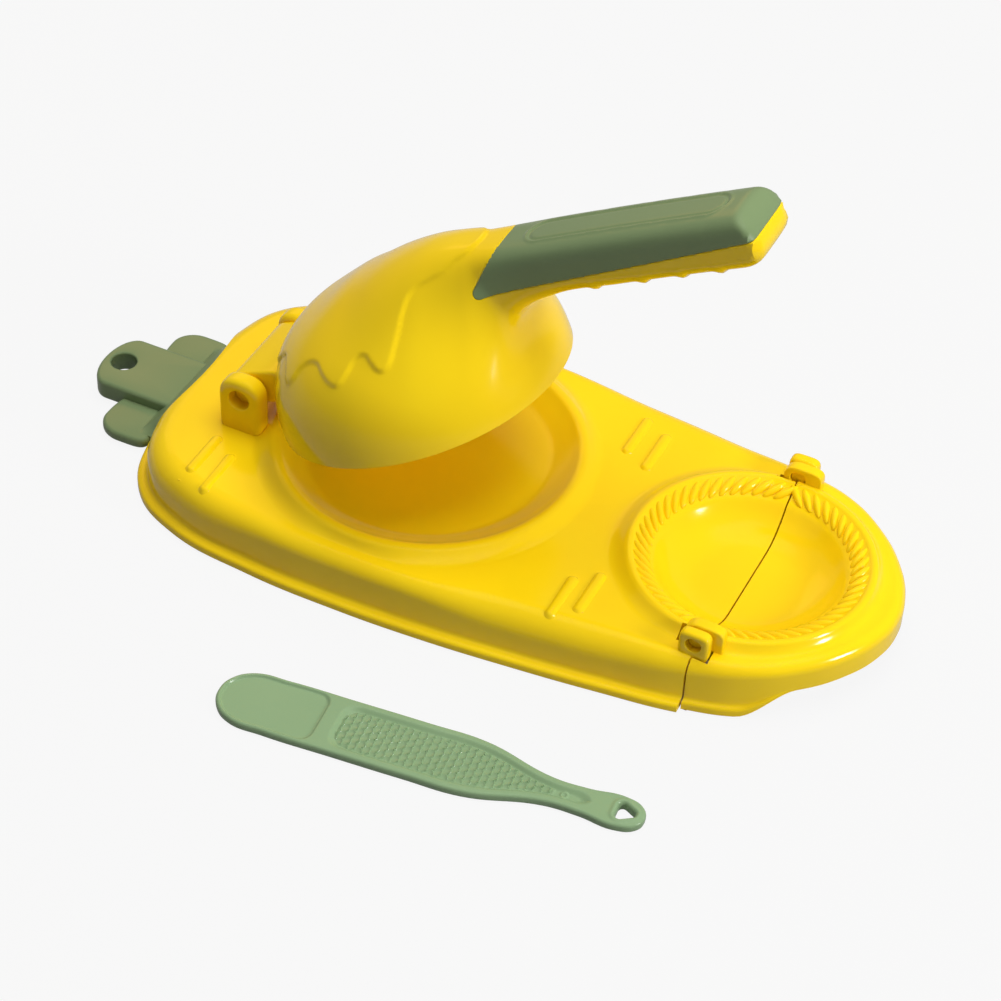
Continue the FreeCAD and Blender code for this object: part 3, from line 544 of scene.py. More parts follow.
# %% [markdown]
# ## Crimp ribs
# The rim has 28 fat slanted ribs on each half, which press a rope-like edge. One rib is a
# sphere, stretched, slanted and leaned onto the sloping ring, and each copy is turned round the mould.
# The two halves slant opposite ways, so that they mesh when the flap closes.

# %% Slanted ribs round the mould
RIBS = 28
RIB_RADIUS, RIB_HEIGHT = 37.4, 21.5
RIB_SIZE = (4.9, 1.4, 1.45)
RING_LEAN = math.atan2(3.1, 6.6)
RIB_SLANT = math.radians(45)


def crimp_ribs(bm, side):
    for i in range(RIBS):
        turn = math.pi * (i + 0.5) / RIBS - side * math.pi / 2
        where = (Matrix.Translation((FOLD_X, 0, 0)) @ Matrix.Rotation(turn, 4, "Z")
                 @ Matrix.Translation((RIB_RADIUS, 0, RIB_HEIGHT)) @ Matrix.Rotation(-RING_LEAN, 4, "Y")
                 @ Matrix.Rotation(side * RIB_SLANT, 4, "Z") @ Matrix.Diagonal((*RIB_SIZE, 1)))
        bmesh.ops.create_uvsphere(bm, u_segments=14, v_segments=10, radius=1.0,
                                  matrix=where @ Matrix.Rotation(math.pi / 2, 4, "Y"))


crimp_ribs(base, -1)
crimp_ribs(flap, 1)
print("ribs on each half:", RIBS)

# %% [markdown]
# ## Dashes, feet and stiffeners
# Four pairs of raised strokes decorate the deck. Some run out over the rolled edge, so their height
# follows the deck. A stroke is a circle pulled apart into a stadium and swept through a low soft
# profile. Under the base, sockets hold the four rubber pads, and two ribs stiffen the deck.

# %% Small forms of the base
DASHES = ((-68.2, -41.5), (-59.1, -47.9), (74.2, -46.6), (81.8, -40.5), (63.0, 41.2), (72.5, 36.2),
          (-68.2, 41.5), (-59.1, 47.9))
DASH_HALF, DASH_RADIUS = 8.8, 1.7
DASH_PROFILE = ((1.35, -0.5), (1.25, 0.02), (1.08, 0.22), (0.9, 0.6), (0.68, 0.88), (0.4, 1.0))
FEET = ((-68, -44), (-68, 44), (98, -44), (98, 44))
FOOT_SOCKET = ((7.8, 19.2), (7.8, 0.8), (6.05, 0.8), (6.05, 2.02), (0.0, 2.02))
STIFFENER_X, STIFFENER_Z, STIFFENER_SIZE = (-69.4, 69.4), 14.8, (1.8, 112, 8)


def deck_at(x, y):
    """Height of the deck or of its rolled edge."""
    radius = roll_at(x)
    inwards = min(np.hypot(wall_points[:, 0] - x, wall_points[:, 1] - y).min(), radius)
    return DECK - radius + math.sqrt(radius ** 2 - (radius - inwards) ** 2)


def dash(x, y):
    bm = new_rings()

    def step(share, rise):
        def at(spot, out):
            end = spot + Vector((out.x, out.y, 0)) * DASH_RADIUS * share
            return DASH_RADIUS * share, deck_at(end.x, end.y) + rise
        return at

    ring = circle(bm, x, y, 28, (1.0, 0.0))
    for corner in bm.verts:
        spot = Vector((x, y + math.copysign(DASH_HALF, corner.co.y - y), 0))
        remember(bm, corner, spot, corner[bm.verts.layers.float_vector["out"]])
        put(bm, corner, step(*DASH_PROFILE[0]))
    top = sweep(bm, ring, [step(*point) for point in DASH_PROFILE[1:]])
    bmesh.ops.contextual_create(bm, geom=top)
    bmesh.ops.recalc_face_normals(bm, faces=bm.faces[:])
    return bm


def add(bm, part):
    """Joins another bmesh to this one."""
    mesh = mesh_of("part", part)
    bm.from_mesh(mesh)
    bpy.data.meshes.remove(mesh)


def spun(profile, steps):
    """Profile of (radius, height) points turned right round."""
    bm = bmesh.new()
    corners = [bm.verts.new((radius, 0, height)) for radius, height in profile]
    line = [bm.edges.new(pair) for pair in zip(corners, corners[1:])]
    bmesh.ops.spin(bm, geom=corners + line, cent=(0, 0, 0), axis=(0, 0, 1), dvec=(0, 0, 0),
                   angle=2 * math.pi, steps=steps, use_merge=True)
    bmesh.ops.remove_doubles(bm, verts=bm.verts[:], dist=0.001)
    bmesh.ops.recalc_face_normals(bm, faces=bm.faces[:])
    return bm


for x, y in DASHES:
    add(base, dash(x, y))
for x, y in FEET:
    socket = spun(FOOT_SOCKET, 36)
    bmesh.ops.translate(socket, vec=(x, y, 0), verts=socket.verts[:])
    add(base, socket)
for x in STIFFENER_X:
    where = Matrix.Translation((x, 0, STIFFENER_Z)) @ Matrix.Diagonal((*STIFFENER_SIZE, 1))
    bmesh.ops.create_cube(base, size=1.0, matrix=where)
base_piece = piece("base_shell_moulding", base, "base", "yellow_shell", "base_shell")
flap_piece = piece("flap_moulding", flap, "flap", "yellow_shell", "flap_mould_half")

# %% [markdown]
# ## One form for lid, neck and handle
# The dome swells into the neck and the neck into the handle without an edge. A formula describes such a
# form well: the dome is a squarish ball, the handle a squarish section that changes along its length,
# and a soft minimum of the two blends them. A voxel remesh of the two rough solids gives an even skin,
# and every corner is then slid onto the formula's surface. The lid is made closed and turned open later.

# %% The lid's formula
RIM = 25.4
DOME_RADIUS, DOME_HEIGHT, DOME_POWER = 53.5, 40.5, 2.3
BLEND, NECK_BLEND = 9.0, 26.0
NECK_POWER, GRIP_POWER = 2.1, 3.6
RIDGE_HALF, RIDGE_DEEP = 1.7, 1.2
FACET_SOFT, TAIL_SOFT = 2.4, 6.0
# Along the handle: distance from the dish's middle, half width, top and underside above the rim
HANDLE = np.array([(-31.0, 22.0, 25.0, 7.4), (-15.5, 23.5, 40.4, 8.9), (0.0, 23.5, 47.8, 11.1),
                   (16.3, 20.8, 52.2, 11.5), (31.0, 17.0, 54.8, 13.0), (43.0, 14.5, 55.6, 20.0),
                   (57.1, 13.1, 56.6, 32.4), (72.2, 13.0, 58.1, 38.0), (97.1, 13.0, 60.6, 40.8),
                   (129.6, 12.9, 63.5, 43.7), (151.2, 12.7, 65.2, 45.2)])
FINGER_RIDGES = np.array([87.4, 105.8, 120.4, 134.4])
# Facets of the handle's end: a point (distance, height above the rim) and the facet's direction
END_FACETS = (((145.4, 65.2), (0.78, 0.63)), ((151.2, 55.0), (0.995, 0.1)), ((146.0, 45.0), (0.62, -0.78)))


def glide(x, places, values):
    """Smooth curve through values at places."""
    lean = np.gradient(values, places)
    i = np.clip(np.searchsorted(places, x) - 1, 0, len(places) - 2)
    run = places[i + 1] - places[i]
    t = np.clip((x - places[i]) / run, 0, 1)
    start = (2 * t ** 3 - 3 * t ** 2 + 1) * values[i] + (t ** 3 - 2 * t ** 2 + t) * run * lean[i]
    return start + (3 * t ** 2 - 2 * t ** 3) * values[i + 1] + (t ** 3 - t ** 2) * run * lean[i + 1]


def soft_steps(values, low, high):
    t = np.clip((values - low) / (high - low), 0, 1)
    return t * t * (3 - 2 * t)


def soft_min(a, b, reach):
    share = np.clip(0.5 + 0.5 * (b - a) / reach, 0, 1)
    return b * (1 - share) + a * share - reach * share * (1 - share)


def soft_max(a, b, reach):
    return -soft_min(-a, -b, reach)


def handle_form(p):
    x, y, z = p.T
    half = glide(x, HANDLE[:, 0], HANDLE[:, 1])
    top = glide(x, HANDLE[:, 0], HANDLE[:, 2]) + RIM
    under = glide(x, HANDLE[:, 0], HANDLE[:, 3]) + RIM
    ridges = np.exp(-((x[:, None] - FINGER_RIDGES) / RIDGE_HALF) ** 2).sum(1)
    under = under - RIDGE_DEEP * ridges * np.clip(3.2 - np.abs(y) / 4.2, 0, 1)
    tall = (top - under) / 2
    power = NECK_POWER + (GRIP_POWER - NECK_POWER) * soft_steps(x, 16.0, 68.0)
    share = (np.abs(y / half) ** power + np.abs((z - under - tall) / tall) ** power) ** (1 / power)
    gap = (share - 1) * np.minimum(half, tall)
    gap = soft_max(gap, HANDLE[0, 0] - x, TAIL_SOFT)
    for (px, pz), (nx, nz) in END_FACETS:
        gap = soft_max(gap, (x - px) * nx + (z - RIM - pz) * nz, FACET_SOFT)
    return gap


def dome_form(p):
    share = (np.hypot(p[:, 0], p[:, 1]) / DOME_RADIUS) ** DOME_POWER
    share = share + (np.abs(p[:, 2] - RIM) / DOME_HEIGHT) ** DOME_POWER
    return (share ** (1 / DOME_POWER) - 1) * (DOME_RADIUS + DOME_HEIGHT) / 2


def lid_form(p):
    """Below 0 inside the lid, 0 on its surface, above 0 outside."""
    neck = soft_steps(p[:, 0], -8.0, 26.0) * (1 - soft_steps(p[:, 0], 40.0, 60.0))
    return soft_min(dome_form(p), handle_form(p), BLEND + (NECK_BLEND - BLEND) * neck)


def slope_of(form, p):
    """Direction and steepness in which a form grows."""
    step = 0.02
    return np.stack([(form(p + step * axis) - form(p - step * axis)) / (2 * step) for axis in np.eye(3)], 1)


def slide_onto(form, p, rounds):
    """Points moved onto a form's surface."""
    for _ in range(rounds):
        slope = slope_of(form, p)
        p = p - np.clip(form(p), -2, 2)[:, None] * slope / np.maximum((slope ** 2).sum(1), 0.05)[:, None]
    return p


def outwards_from_lid(p):
    """Directions straight out of the lid's surface."""
    slope = slope_of(lid_form, p)
    return slope / np.linalg.norm(slope, axis=1)[:, None]


print("stations along the handle:", len(HANDLE), "ridges for the fingers:", len(FINGER_RIDGES))

# %% [markdown]
# ## An even skin on the formula
# The remesh needs rough solids that overlap: a spun dome, and a handle whose section is extruded from
# station to station. Sliding bunches the corners a little, so smoothing and sliding take turns.

# %% Rough solids, remesh and slide
SKIN_STEP = 0.9
STATIONS = (-30, -15, 0, 15, 30, 43, 57, 72, 97, 130, 147)


def corners_of(bm):
    return np.array([v.co for v in bm.verts])


def move_corners(bm, places):
    for v, place in zip(bm.verts, places):
        v.co = place


arc = [(DOME_RADIUS * math.cos(t) ** (2 / DOME_POWER), RIM + DOME_HEIGHT * math.sin(t) ** (2 / DOME_POWER))
       for t in (math.pi / 2 * i / 10 for i in range(11))]
rough = spun([(0, RIM - 5), (DOME_RADIUS - 0.4, RIM - 5)] + arc, 72)
ring = bmesh.ops.create_circle(rough, cap_ends=True, segments=40, radius=1.0)["verts"]
face = ring[0].link_faces[0]
turn_of = rough.verts.layers.float.new("turn")
for v in face.verts:
    v[turn_of] = math.atan2(v.co.y, v.co.x)


def put_section(corners, x):
    half, top, under = (float(glide(np.array([x]), HANDLE[:, 0], HANDLE[:, k])[0]) for k in (1, 2, 3))
    for v in corners:
        across, up = math.cos(v[turn_of]), math.sin(v[turn_of])
        reach = (abs(across) ** GRIP_POWER + abs(up) ** GRIP_POWER) ** (-1 / GRIP_POWER)
        v.co = (x, across * reach * half, RIM + (top + under) / 2 + up * reach * (top - under) / 2)


first_cap = face
put_section(face.verts, STATIONS[0])
for x in STATIONS[1:]:
    made = bmesh.ops.extrude_face_region(rough, geom=[face])["geom"]
    if face is not first_cap:
        bmesh.ops.delete(rough, geom=[face], context="FACES_ONLY")
    face = next(item for item in made if isinstance(item, bmesh.types.BMFace))
    put_section(face.verts, x)
bmesh.ops.recalc_face_normals(rough, faces=rough.faces[:])
lid = through_modifiers(rough, ("REMESH", {"mode": "VOXEL", "voxel_size": SKIN_STEP}))
for _ in range(3):
    move_corners(lid, slide_onto(lid_form, corners_of(lid), 3))
    bmesh.ops.smooth_vert(lid, verts=lid.verts[:], factor=0.5,
                          use_axis_x=True, use_axis_y=True, use_axis_z=True)
move_corners(lid, slide_onto(lid_form, corners_of(lid), 4))
bisected(lid, (0, 0, RIM), (0, 0, -1), clear_outer=True)
miss = float(np.abs(lid_form(corners_of(lid))).max())
print("lid skin corners:", len(lid.verts), "largest miss in mm:", miss)

# %% [markdown]
# ## Splitting off the grip cover
# The green cover is the upper part of the handle. Its front edge leans back, its lower edge follows the
# handle, and the corner between is round. Both are planes across the handle, and a fan of planes between
# them rounds the corner. The skin is bisected along all of them, and the faces inside become the cover.
# One more cut each side of the two straight edges gives the rims an even row of faces.

# %% The parting line
COVER_CORNER = Vector((40.6, 0, RIM + 40.2))
PARTING = Vector((108.2, 0, 16.0)).normalized()
LEAN = Vector((12.0, 0, 14.6)).normalized()
CORNER_ROUND = 2.3
FAN = 8
EDGE_DROP, RIM_ROW = 0.34, 0.5
HANDLE_ONLY = 34.0

up_turn = math.atan2(PARTING.z, PARTING.x) + math.pi / 2
lean_turn = math.atan2(LEAN.z, LEAN.x) - math.pi / 2
opening = PARTING.angle(LEAN)
fan_middle = COVER_CORNER + (PARTING + LEAN).normalized() * CORNER_ROUND / math.sin(opening / 2)
cover_planes = []
for i in range(FAN + 1):
    turn = up_turn + (lean_turn - up_turn) * i / FAN
    inwards = Vector((math.cos(turn), 0, math.sin(turn)))
    cover_planes.append((fan_middle - inwards * CORNER_ROUND, -inwards))
rim_rows = [(point + outwards * step, outwards) for point, outwards in (cover_planes[0], cover_planes[-1])
            for step in (-RIM_ROW, RIM_ROW)]
for point, outwards in cover_planes + rim_rows:
    bisected(lid, point, outwards, lambda place: place.x > HANDLE_ONLY)
cover = lid.copy()
for part, keep in ((cover, True), (lid, False)):
    rest = [face for face in part.faces if inside_all(face.calc_center_median(), cover_planes) != keep]
    bmesh.ops.delete(part, geom=rest, context="FACES")


def soft_rim(bm, drop):
    """Lowers the open rim of a skin a little, so that it ends in a soft edge."""
    bm.normal_update()
    for v in bm.verts:
        if v.is_boundary:
            v.co -= v.normal * drop


print("lid faces:", len(lid.faces), "cover faces:", len(cover.faces))

# %% [markdown]
# ## Icing on the dome
# The dome carries a low step with drips, like icing. Its edge is a closed line seen from above, the
# same on both sides. The distance to that line, inside or outside, drives how far each corner is raised.

# %% Raising the icing
ICING = ((44.6, 0.0), (42.6, 6.4), (37.9, 10.1), (33.5, 13.0), (29.2, 14.8), (22.9, 18.2), (20.7, 22.0),
         (19.5, 26.9), (18.4, 32.3), (16.6, 37.4), (14.2, 38.6), (10.5, 36.9), (7.6, 34.8), (5.0, 35.2),
         (1.4, 40.6), (-1.4, 43.2), (-4.6, 42.6), (-9.0, 39.4), (-12.4, 35.8), (-16.5, 34.6), (-20.8, 35.4),
         (-24.6, 37.4), (-27.8, 36.4), (-30.2, 31.0), (-33.2, 25.4), (-38.6, 23.0), (-42.6, 20.0),
         (-43.6, 13.0), (-42.0, 6.0), (-42.5, 0.0))
ICING_RISE, ICING_SOFT = 0.85, 0.65
icing_line = flat_corners(smooth_outline(both_sides(ICING), 6))


def inside_line(p, line):
    """Signed distance to a closed line, above 0 inside."""
    ends = np.roll(line, -1, 0)
    run = ends - line
    away = p[:, None, :] - line[None]
    share = np.clip((away * run).sum(2) / (run ** 2).sum(1), 0, 1)
    distance = np.sqrt(((away - share[..., None] * run) ** 2).sum(2).min(1))
    crosses = (line[:, 1] > p[:, None, 1]) != (ends[:, 1] > p[:, None, 1])
    with np.errstate(divide="ignore", invalid="ignore"):
        at = line[:, 0] + (p[:, None, 1] - line[:, 1]) / run[:, 1] * run[:, 0]
    inside = (crosses & (p[:, None, 0] < at)).sum(1) % 2 == 1
    return np.where(inside, distance, -distance)


def inside_line_in_lots(p, line, lots):
    """The same for many points, a lot at a time to spare memory."""
    return np.concatenate([inside_line(lot, line) for lot in np.array_split(p, lots)])


places = corners_of(lid)
lean = outwards_from_lid(places)
depth = inside_line_in_lots(places[:, :2], icing_line, 20)
rise = ICING_RISE * soft_steps(depth, -ICING_SOFT, ICING_SOFT) * (lean[:, 2] > 0)
move_corners(lid, places + lean * rise[:, None])
soft_rim(lid, EDGE_DROP)
print("corners on the icing:", int((depth > 0).sum()))

# %% [markdown]
# ## The cover's panel
# A long stadium panel lies on top of the cover, set off by a fine raised line with a groove inside it.
# The cover's skin is subdivided there first, because the line is narrower than the skin's step. Lid and
# cover then get their walls, the lid its hinge tab, and both are turned open about the hinge.

# %% Panel line and walls
PANEL_START, PANEL_END, PANEL_HALF = 63.0, 139.0, 6.3
PANEL_LINE, PANEL_GROOVE = 0.30, 0.42
TAB_HALF, TAB_HOLE = 16.8, 4.06
OPEN_TURN = math.radians(-23)
hinge = Matrix.Translation((LID_AXIS[0], 0, LID_AXIS[1]))
TO_OPEN = hinge @ Matrix.Rotation(OPEN_TURN, 4, "Y") @ hinge.inverted()


def near_panel(v):
    return v.co.z > RIM + 50 and abs(v.co.y) < PANEL_HALF + 2 and v.normal.z > 0.7


cover.normal_update()
fine = [e for e in cover.edges if all(near_panel(v) for v in e.verts)]
bmesh.ops.subdivide_edges(cover, edges=fine, cuts=1, use_grid_fill=True)
places = slide_onto(lid_form, corners_of(cover), 3)
spine = np.clip(places[:, 0], PANEL_START + PANEL_HALF, PANEL_END - PANEL_HALF)
edge = np.hypot(places[:, 0] - spine, places[:, 1]) - PANEL_HALF
line = PANEL_LINE * np.exp(-((edge - 0.5) / 0.55) ** 2) - PANEL_GROOVE * np.exp(-((edge + 0.75) / 0.6) ** 2)
lean = outwards_from_lid(places)
move_corners(cover, places + lean * (line * (lean[:, 2] > 0.6))[:, None])
soft_rim(cover, EDGE_DROP)
cover = walled(cover)
lid = walled(lid)
tab_outline = {(True, True): (15.5, 6.6, 8.0), (False, True): (6.6, 6.6, 3.2),
               (True, False): (15.5, 6.6, 8.0), (False, False): (6.6, 6.6, 3.2)}
drilled_plate(lid, LID_AXIS, TAB_HOLE, tab_outline, -TAB_HALF, TAB_HALF, 1.2, 0.4)
for part in (lid, cover):
    part.transform(TO_OPEN)
lid_piece = piece("press_lid_moulding", lid, "lid", "yellow_shell", "press_lid")
cover_piece = piece("grip_cover_moulding", cover, "lid", "green_grip", "grip_cover")

# %% [markdown]
# ## Hinge pins
# The pins end inside the ears and lugs, so a shadowed hole shows with the pin's end at its bottom. Each is
# a capped cylinder with a small bevel, made lying across the maker.

# %% Pins that end inside their holes
# Each pin: axis, radius, inner end and outer end
PINS = {"lid_hinge_pin": (LID_AXIS, 3.95, 9.0, 20.6), "flap_hinge_pin": (FLAP_AXIS, 2.75, 43.0, 48.9)}
pin_pieces = []
for pin, (axis, radius, inner, outer) in PINS.items():
    for side, end in ((-1, "near"), (1, "far")):
        bm = bmesh.new()
        middle = Matrix.Translation((axis[0], side * (inner + outer) / 2, axis[1]))
        bmesh.ops.create_cone(bm, cap_ends=True, segments=40, radius1=radius, radius2=radius,
                              depth=outer - inner, matrix=middle @ Matrix.Rotation(math.pi / 2, 4, "X"))
        bevelled(bm, [e for e in bm.edges if e.calc_face_angle(0) > 0.8], 0.5, segments=2)
        node = pin + "_" + end
        body = body_of(frame["nodes"][node])[0]
        pin_pieces.append(piece(node + "_turned", bm, body, "yellow_shell", node))

# %% [markdown]
# ## The leaf
# Behind the base a leaf with three lobes hangs the maker on a hook. The middle lobe is a thick plate
# with the hole, and it lies over two thinner side lobes. A ramp joins them to the deck. The middle lobe
# grows out of its hole as the ears do, and each side lobe out of a filled circle.

# %% Lobes and ramp
LEAF_SOFT, LEAF_PLAY = 1.5, 0.2
LEAF_HOLE, HOLE_RADIUS = (-128.0, 0.0), 4.8
MIDDLE_HALF, MIDDLE_TIP, MIDDLE_ROOT = 14.2, 7.97, 31.0
MIDDLE_LOW, MIDDLE_HIGH = 1.2, 9.4
CREASE_X, RAMP_FOOT, RAMP_TOP = -104.5, 5.2, 18.4
RAMP_SLOPE = (RAMP_TOP - RAMP_FOOT) / (LEAF_CORNER + LEAF_BOW - LEAF_PLAY - CREASE_X)
LOBE = (-111.7, 23.6)
lobe_outline = {(True, True): (12.0, 8.6, 5.0), (False, True): (9.6, 8.6, 2.0),
                (True, False): (12.0, 20.0, 8.0), (False, False): (9.6, 20.0, 2.1)}


def middle_lobe(direction):
    """Reach from the hole: a round tip behind, straight sides ahead."""
    along, across = direction
    if along > 0:
        return min(MIDDLE_HALF / max(abs(across), 1e-6), MIDDLE_ROOT / along)
    return ((along / MIDDLE_TIP) ** 2 + (across / MIDDLE_HALF) ** 2) ** -0.5


def side_lobe(bm, side):
    """Plate grown out of a filled circle."""
    x, y = LOBE
    ring = bmesh.ops.create_circle(bm, cap_ends=True, segments=72, radius=1.0,
                                   matrix=Matrix.Translation((x, side * y, BASE_FOOT)))["verts"]
    for v in ring:
        along, across = v.co.x - x, (v.co.y - side * y) * side
        reach = squarish(Vector((along, across)).normalized(), lobe_outline)
        v.co = (x + along * reach, side * (y + across * reach), BASE_FOOT)
    top = thickened(bm, [ring[0].link_faces[0]], (0, 0, RAMP_FOOT - BASE_FOOT))
    faces = list({face for v in top + ring for face in v.link_faces})
    bmesh.ops.recalc_face_normals(bm, faces=faces)
    rims = [e for e in {edge for face in faces for edge in face.edges}
            if abs(e.verts[0].co.z - e.verts[1].co.z) < 0.01]
    bevelled(bm, rims, LEAF_SOFT)


leaf = bmesh.new()
drilled_plate(leaf, LEAF_HOLE, HOLE_RADIUS, middle_lobe, -MIDDLE_HIGH, -MIDDLE_LOW, LEAF_SOFT, 0.7, segments=96)
bmesh.ops.rotate(leaf, cent=(0, 0, 0), matrix=Matrix.Rotation(-math.pi / 2, 3, "X"), verts=leaf.verts[:])
for side in (-1, 1):
    side_lobe(leaf, side)
ramp = bmesh.new()
bmesh.ops.create_grid(ramp, x_segments=10, y_segments=36, size=1.0)
for v in ramp.verts:
    y = v.co.y * (LEAF_HALF - LEAF_PLAY)
    end = bow_middle + math.sqrt(bow_radius ** 2 - y ** 2) - LEAF_PLAY
    x = CREASE_X + (end - CREASE_X) * (v.co.x + 1) / 2
    v.co = (x, y, RAMP_FOOT + (x - CREASE_X) * RAMP_SLOPE * smooth(LEAF_HALF - abs(y), 0.0, 7.0))
bottom = dropped(ramp, open_edges(ramp, lambda place: True), BASE_FOOT)
bmesh.ops.contextual_create(ramp, geom=bottom)
bmesh.ops.recalc_face_normals(ramp, faces=ramp.faces[:])
add(leaf, ramp)
leaf_piece = piece("leaf_moulding", leaf, "base", "green_grip", "leaf_hanger")

# %% [markdown]
# ## The filling spatula
# A flat spatula lies in front of the base. Its blade end is thinned, its grip is a soft-edged hollow
# full of fish scales, and the eye in its tail is a rounded triangle. A fine grid follows the outline,
# and the height of each corner is worked out from its distances to the outline, panels and eye.

# %% Outline and scales
SPATULA_LENGTH, SPATULA_THICK, SPATULA_SOFT = 149.5, 3.2, 1.15
SPATULA_START, SPATULA_TURN = (-14.6, -123.48), math.radians(5.6)
SPATULA_HALF = ((0.0, 0.0), (1.8, 6.2), (8.2, 11.2), (20.9, 12.3), (44.9, 12.4), (70.3, 12.4), (91.2, 12.0),
                (116.6, 5.6), (128.6, 5.5), (141.3, 6.7), (147.7, 4.3), (149.5, 0.0))
BLADE_END, BLADE_STEP = 37.0, 0.8
HOLLOW_START, HOLLOW_END, HOLLOW_DEEP = 42.5, 131.0, 1.25
EYE_MIDDLE, EYE_REACH, EYE_ROUND, EYE_LIP, EYE_SOFT = 142.5, 2.1, 1.6, 0.35, 0.9
SCALE_PITCH, SCALE_ROW, SCALE_RISE, SCALE_END = 3.3, 2.5, 0.8, 119.0
DOT_MIDDLE, DOT_RADIUS, DOT_RISE = 122.0, 1.0, 0.35
spatula_line = flat_corners(smooth_outline(both_sides(SPATULA_HALF), 10))


def half_width(u):
    side = spatula_line[:len(spatula_line) // 2 + 1]
    return np.interp(u, side[:, 0], side[:, 1])


def rounded(depth, radius):
    """Drop of a rounded edge at a depth in from it."""
    short = np.clip(radius - np.clip(depth, 0, None), 0, None)
    return radius - np.sqrt(np.maximum(radius ** 2 - short ** 2, 0))


def fish_scales(u, v):
    """Height of overlapping scales: the rows nearer the blade lie on top, and each rises to its free edge."""
    height = np.zeros_like(u)
    covered = np.zeros(u.shape, bool)
    first = np.floor(u / SCALE_ROW).astype(int)
    for back in range(-3, 3):
        row = first + back
        across = v - np.where(row % 2 == 0, 0.0, SCALE_PITCH / 2)
        across = across - SCALE_PITCH * np.round(across / SCALE_PITCH)
        along = u - row * SCALE_ROW
        reach = np.hypot(along * 0.9, across) / (SCALE_PITCH * 0.62)
        here = (reach < 1) & ~covered
        rise = SCALE_RISE * (0.3 + 0.7 * reach ** 3) * np.clip(0.75 + 0.4 * along, 0, 1)
        height = np.where(here, rise, height)
        covered |= here
    return height


def outside_eye(u, v):
    """Distance outside the eye's rounded triangle."""
    turns = [2 * math.pi * i / 3 for i in range(3)]
    corners = np.array([(EYE_MIDDLE + EYE_REACH * math.cos(t), EYE_REACH * math.sin(t)) for t in turns])
    return -inside_line(np.stack([u, v], 1), corners) - EYE_ROUND


def spatula_height(u, v, edge):
    """Top of the spatula where edge is the distance in from its outline."""
    blade = soft_min(edge - 1.3, BLADE_END - u, 5.0)
    ends = soft_min(u - HOLLOW_START, HOLLOW_END - u, 3.0)
    hollow = soft_min(half_width(u) - 3.1 - np.abs(v), ends, 6.0)
    height = SPATULA_THICK - rounded(edge, SPATULA_SOFT) - BLADE_STEP * soft_steps(blade, -0.2, 0.8)
    height = height - HOLLOW_DEEP * soft_steps(hollow, -0.9, 1.4)
    scales = soft_steps(hollow, 0.9, 1.5) * soft_steps(SCALE_END - u, 0, 0.8)
    height = height + scales * fish_scales(u, v)
    height = height + DOT_RISE * np.exp(-((np.hypot(u - DOT_MIDDLE, v) - DOT_RADIUS) / 0.4) ** 2)
    eye = outside_eye(u, v)
    return height + EYE_LIP * np.exp(-((eye - 1.1) / 0.8) ** 2) - rounded(eye, EYE_SOFT)


print("spatula outline corners:", len(spatula_line))

# %% [markdown]
# ## A grid becomes the spatula
# The grid is squeezed into the outline, lifted to the heights, and its rim is extruded down and in for a
# soft lower edge. The eye goes right through, so a boolean with a small prism cuts it.

# %% Spatula from a grid
# Rings down the rim: height and how far it draws in
LOWER_EDGE = ((0.9, 0.0), (0.42, 0.12), (0.12, 0.3), (0.0, 0.48))
spatula = bmesh.new()
bmesh.ops.create_grid(spatula, x_segments=640, y_segments=88, size=1.0)
flat = corners_of(spatula)
share = (flat[:, 0] + 1) / 2
u = SPATULA_LENGTH * (0.55 * share + 0.45 * (0.5 - 0.5 * np.cos(math.pi * share)))
v = half_width(u) * (0.7 * flat[:, 1] + 0.3 * np.sin(flat[:, 1] * math.pi / 2))
edge = np.clip(inside_line_in_lots(np.stack([u, v], 1), spatula_line, 30), 0, None)
move_corners(spatula, np.stack([u, v, spatula_height(u, v, edge)], 1))
bmesh.ops.remove_doubles(spatula, verts=spatula.verts[:], dist=0.004)
rim = open_edges(spatula, lambda place: True)
for height, inset in LOWER_EDGE:
    rim, corners = extruded(spatula, rim)
    for corner in corners:
        spine = Vector((min(max(corner.co.x, 9.0), SPATULA_LENGTH - 6.0), 0, corner.co.z))
        away = corner.co - spine
        corner.co = spine + away * (1 - inset / away.length)
        corner.co.z = height
bmesh.ops.contextual_create(spatula, geom=rim)
bmesh.ops.recalc_face_normals(spatula, faces=spatula.faces[:])
eye_cutter = bmesh.new()
ring = bmesh.ops.create_circle(eye_cutter, cap_ends=True, segments=48, radius=1.0,
                               matrix=Matrix.Translation((EYE_MIDDLE, 0, -1)))["verts"]
for corner in ring:
    turn = math.atan2(corner.co.y, corner.co.x - EYE_MIDDLE)
    reach = np.linspace(0.5, 7.0, 400)
    gap = outside_eye(EYE_MIDDLE + reach * math.cos(turn), reach * math.sin(turn))
    far = float(reach[np.argmax(gap > 0)])
    corner.co = (EYE_MIDDLE + far * math.cos(turn), far * math.sin(turn), -1)
thickened(eye_cutter, [ring[0].link_faces[0]], (0, 0, 8))
bmesh.ops.recalc_face_normals(eye_cutter, faces=eye_cutter.faces[:])
cutter = placed("eye", mesh_of("eye", eye_cutter))
cutting = {"object": cutter, "operation": "DIFFERENCE", "solver": "EXACT"}
spatula = through_modifiers(spatula, ("BOOLEAN", cutting))
bpy.data.objects.remove(cutter)
spatula.transform(Matrix.Translation((*SPATULA_START, 0)) @ Matrix.Rotation(SPATULA_TURN, 4, "Z"))
spatula_piece = piece("filling_spatula_moulding", spatula, "spatula", "pale_green", "filling_spatula")

# %% [markdown]
# ## Shader maths in plain Python
# A finish is a net of nodes. Wrapping a socket in a small class lets the maths read like maths: adding
# two signals adds a Math node. Every other node comes from one method that sets its settings, then its
# sockets.

# %% A socket that can be reckoned with


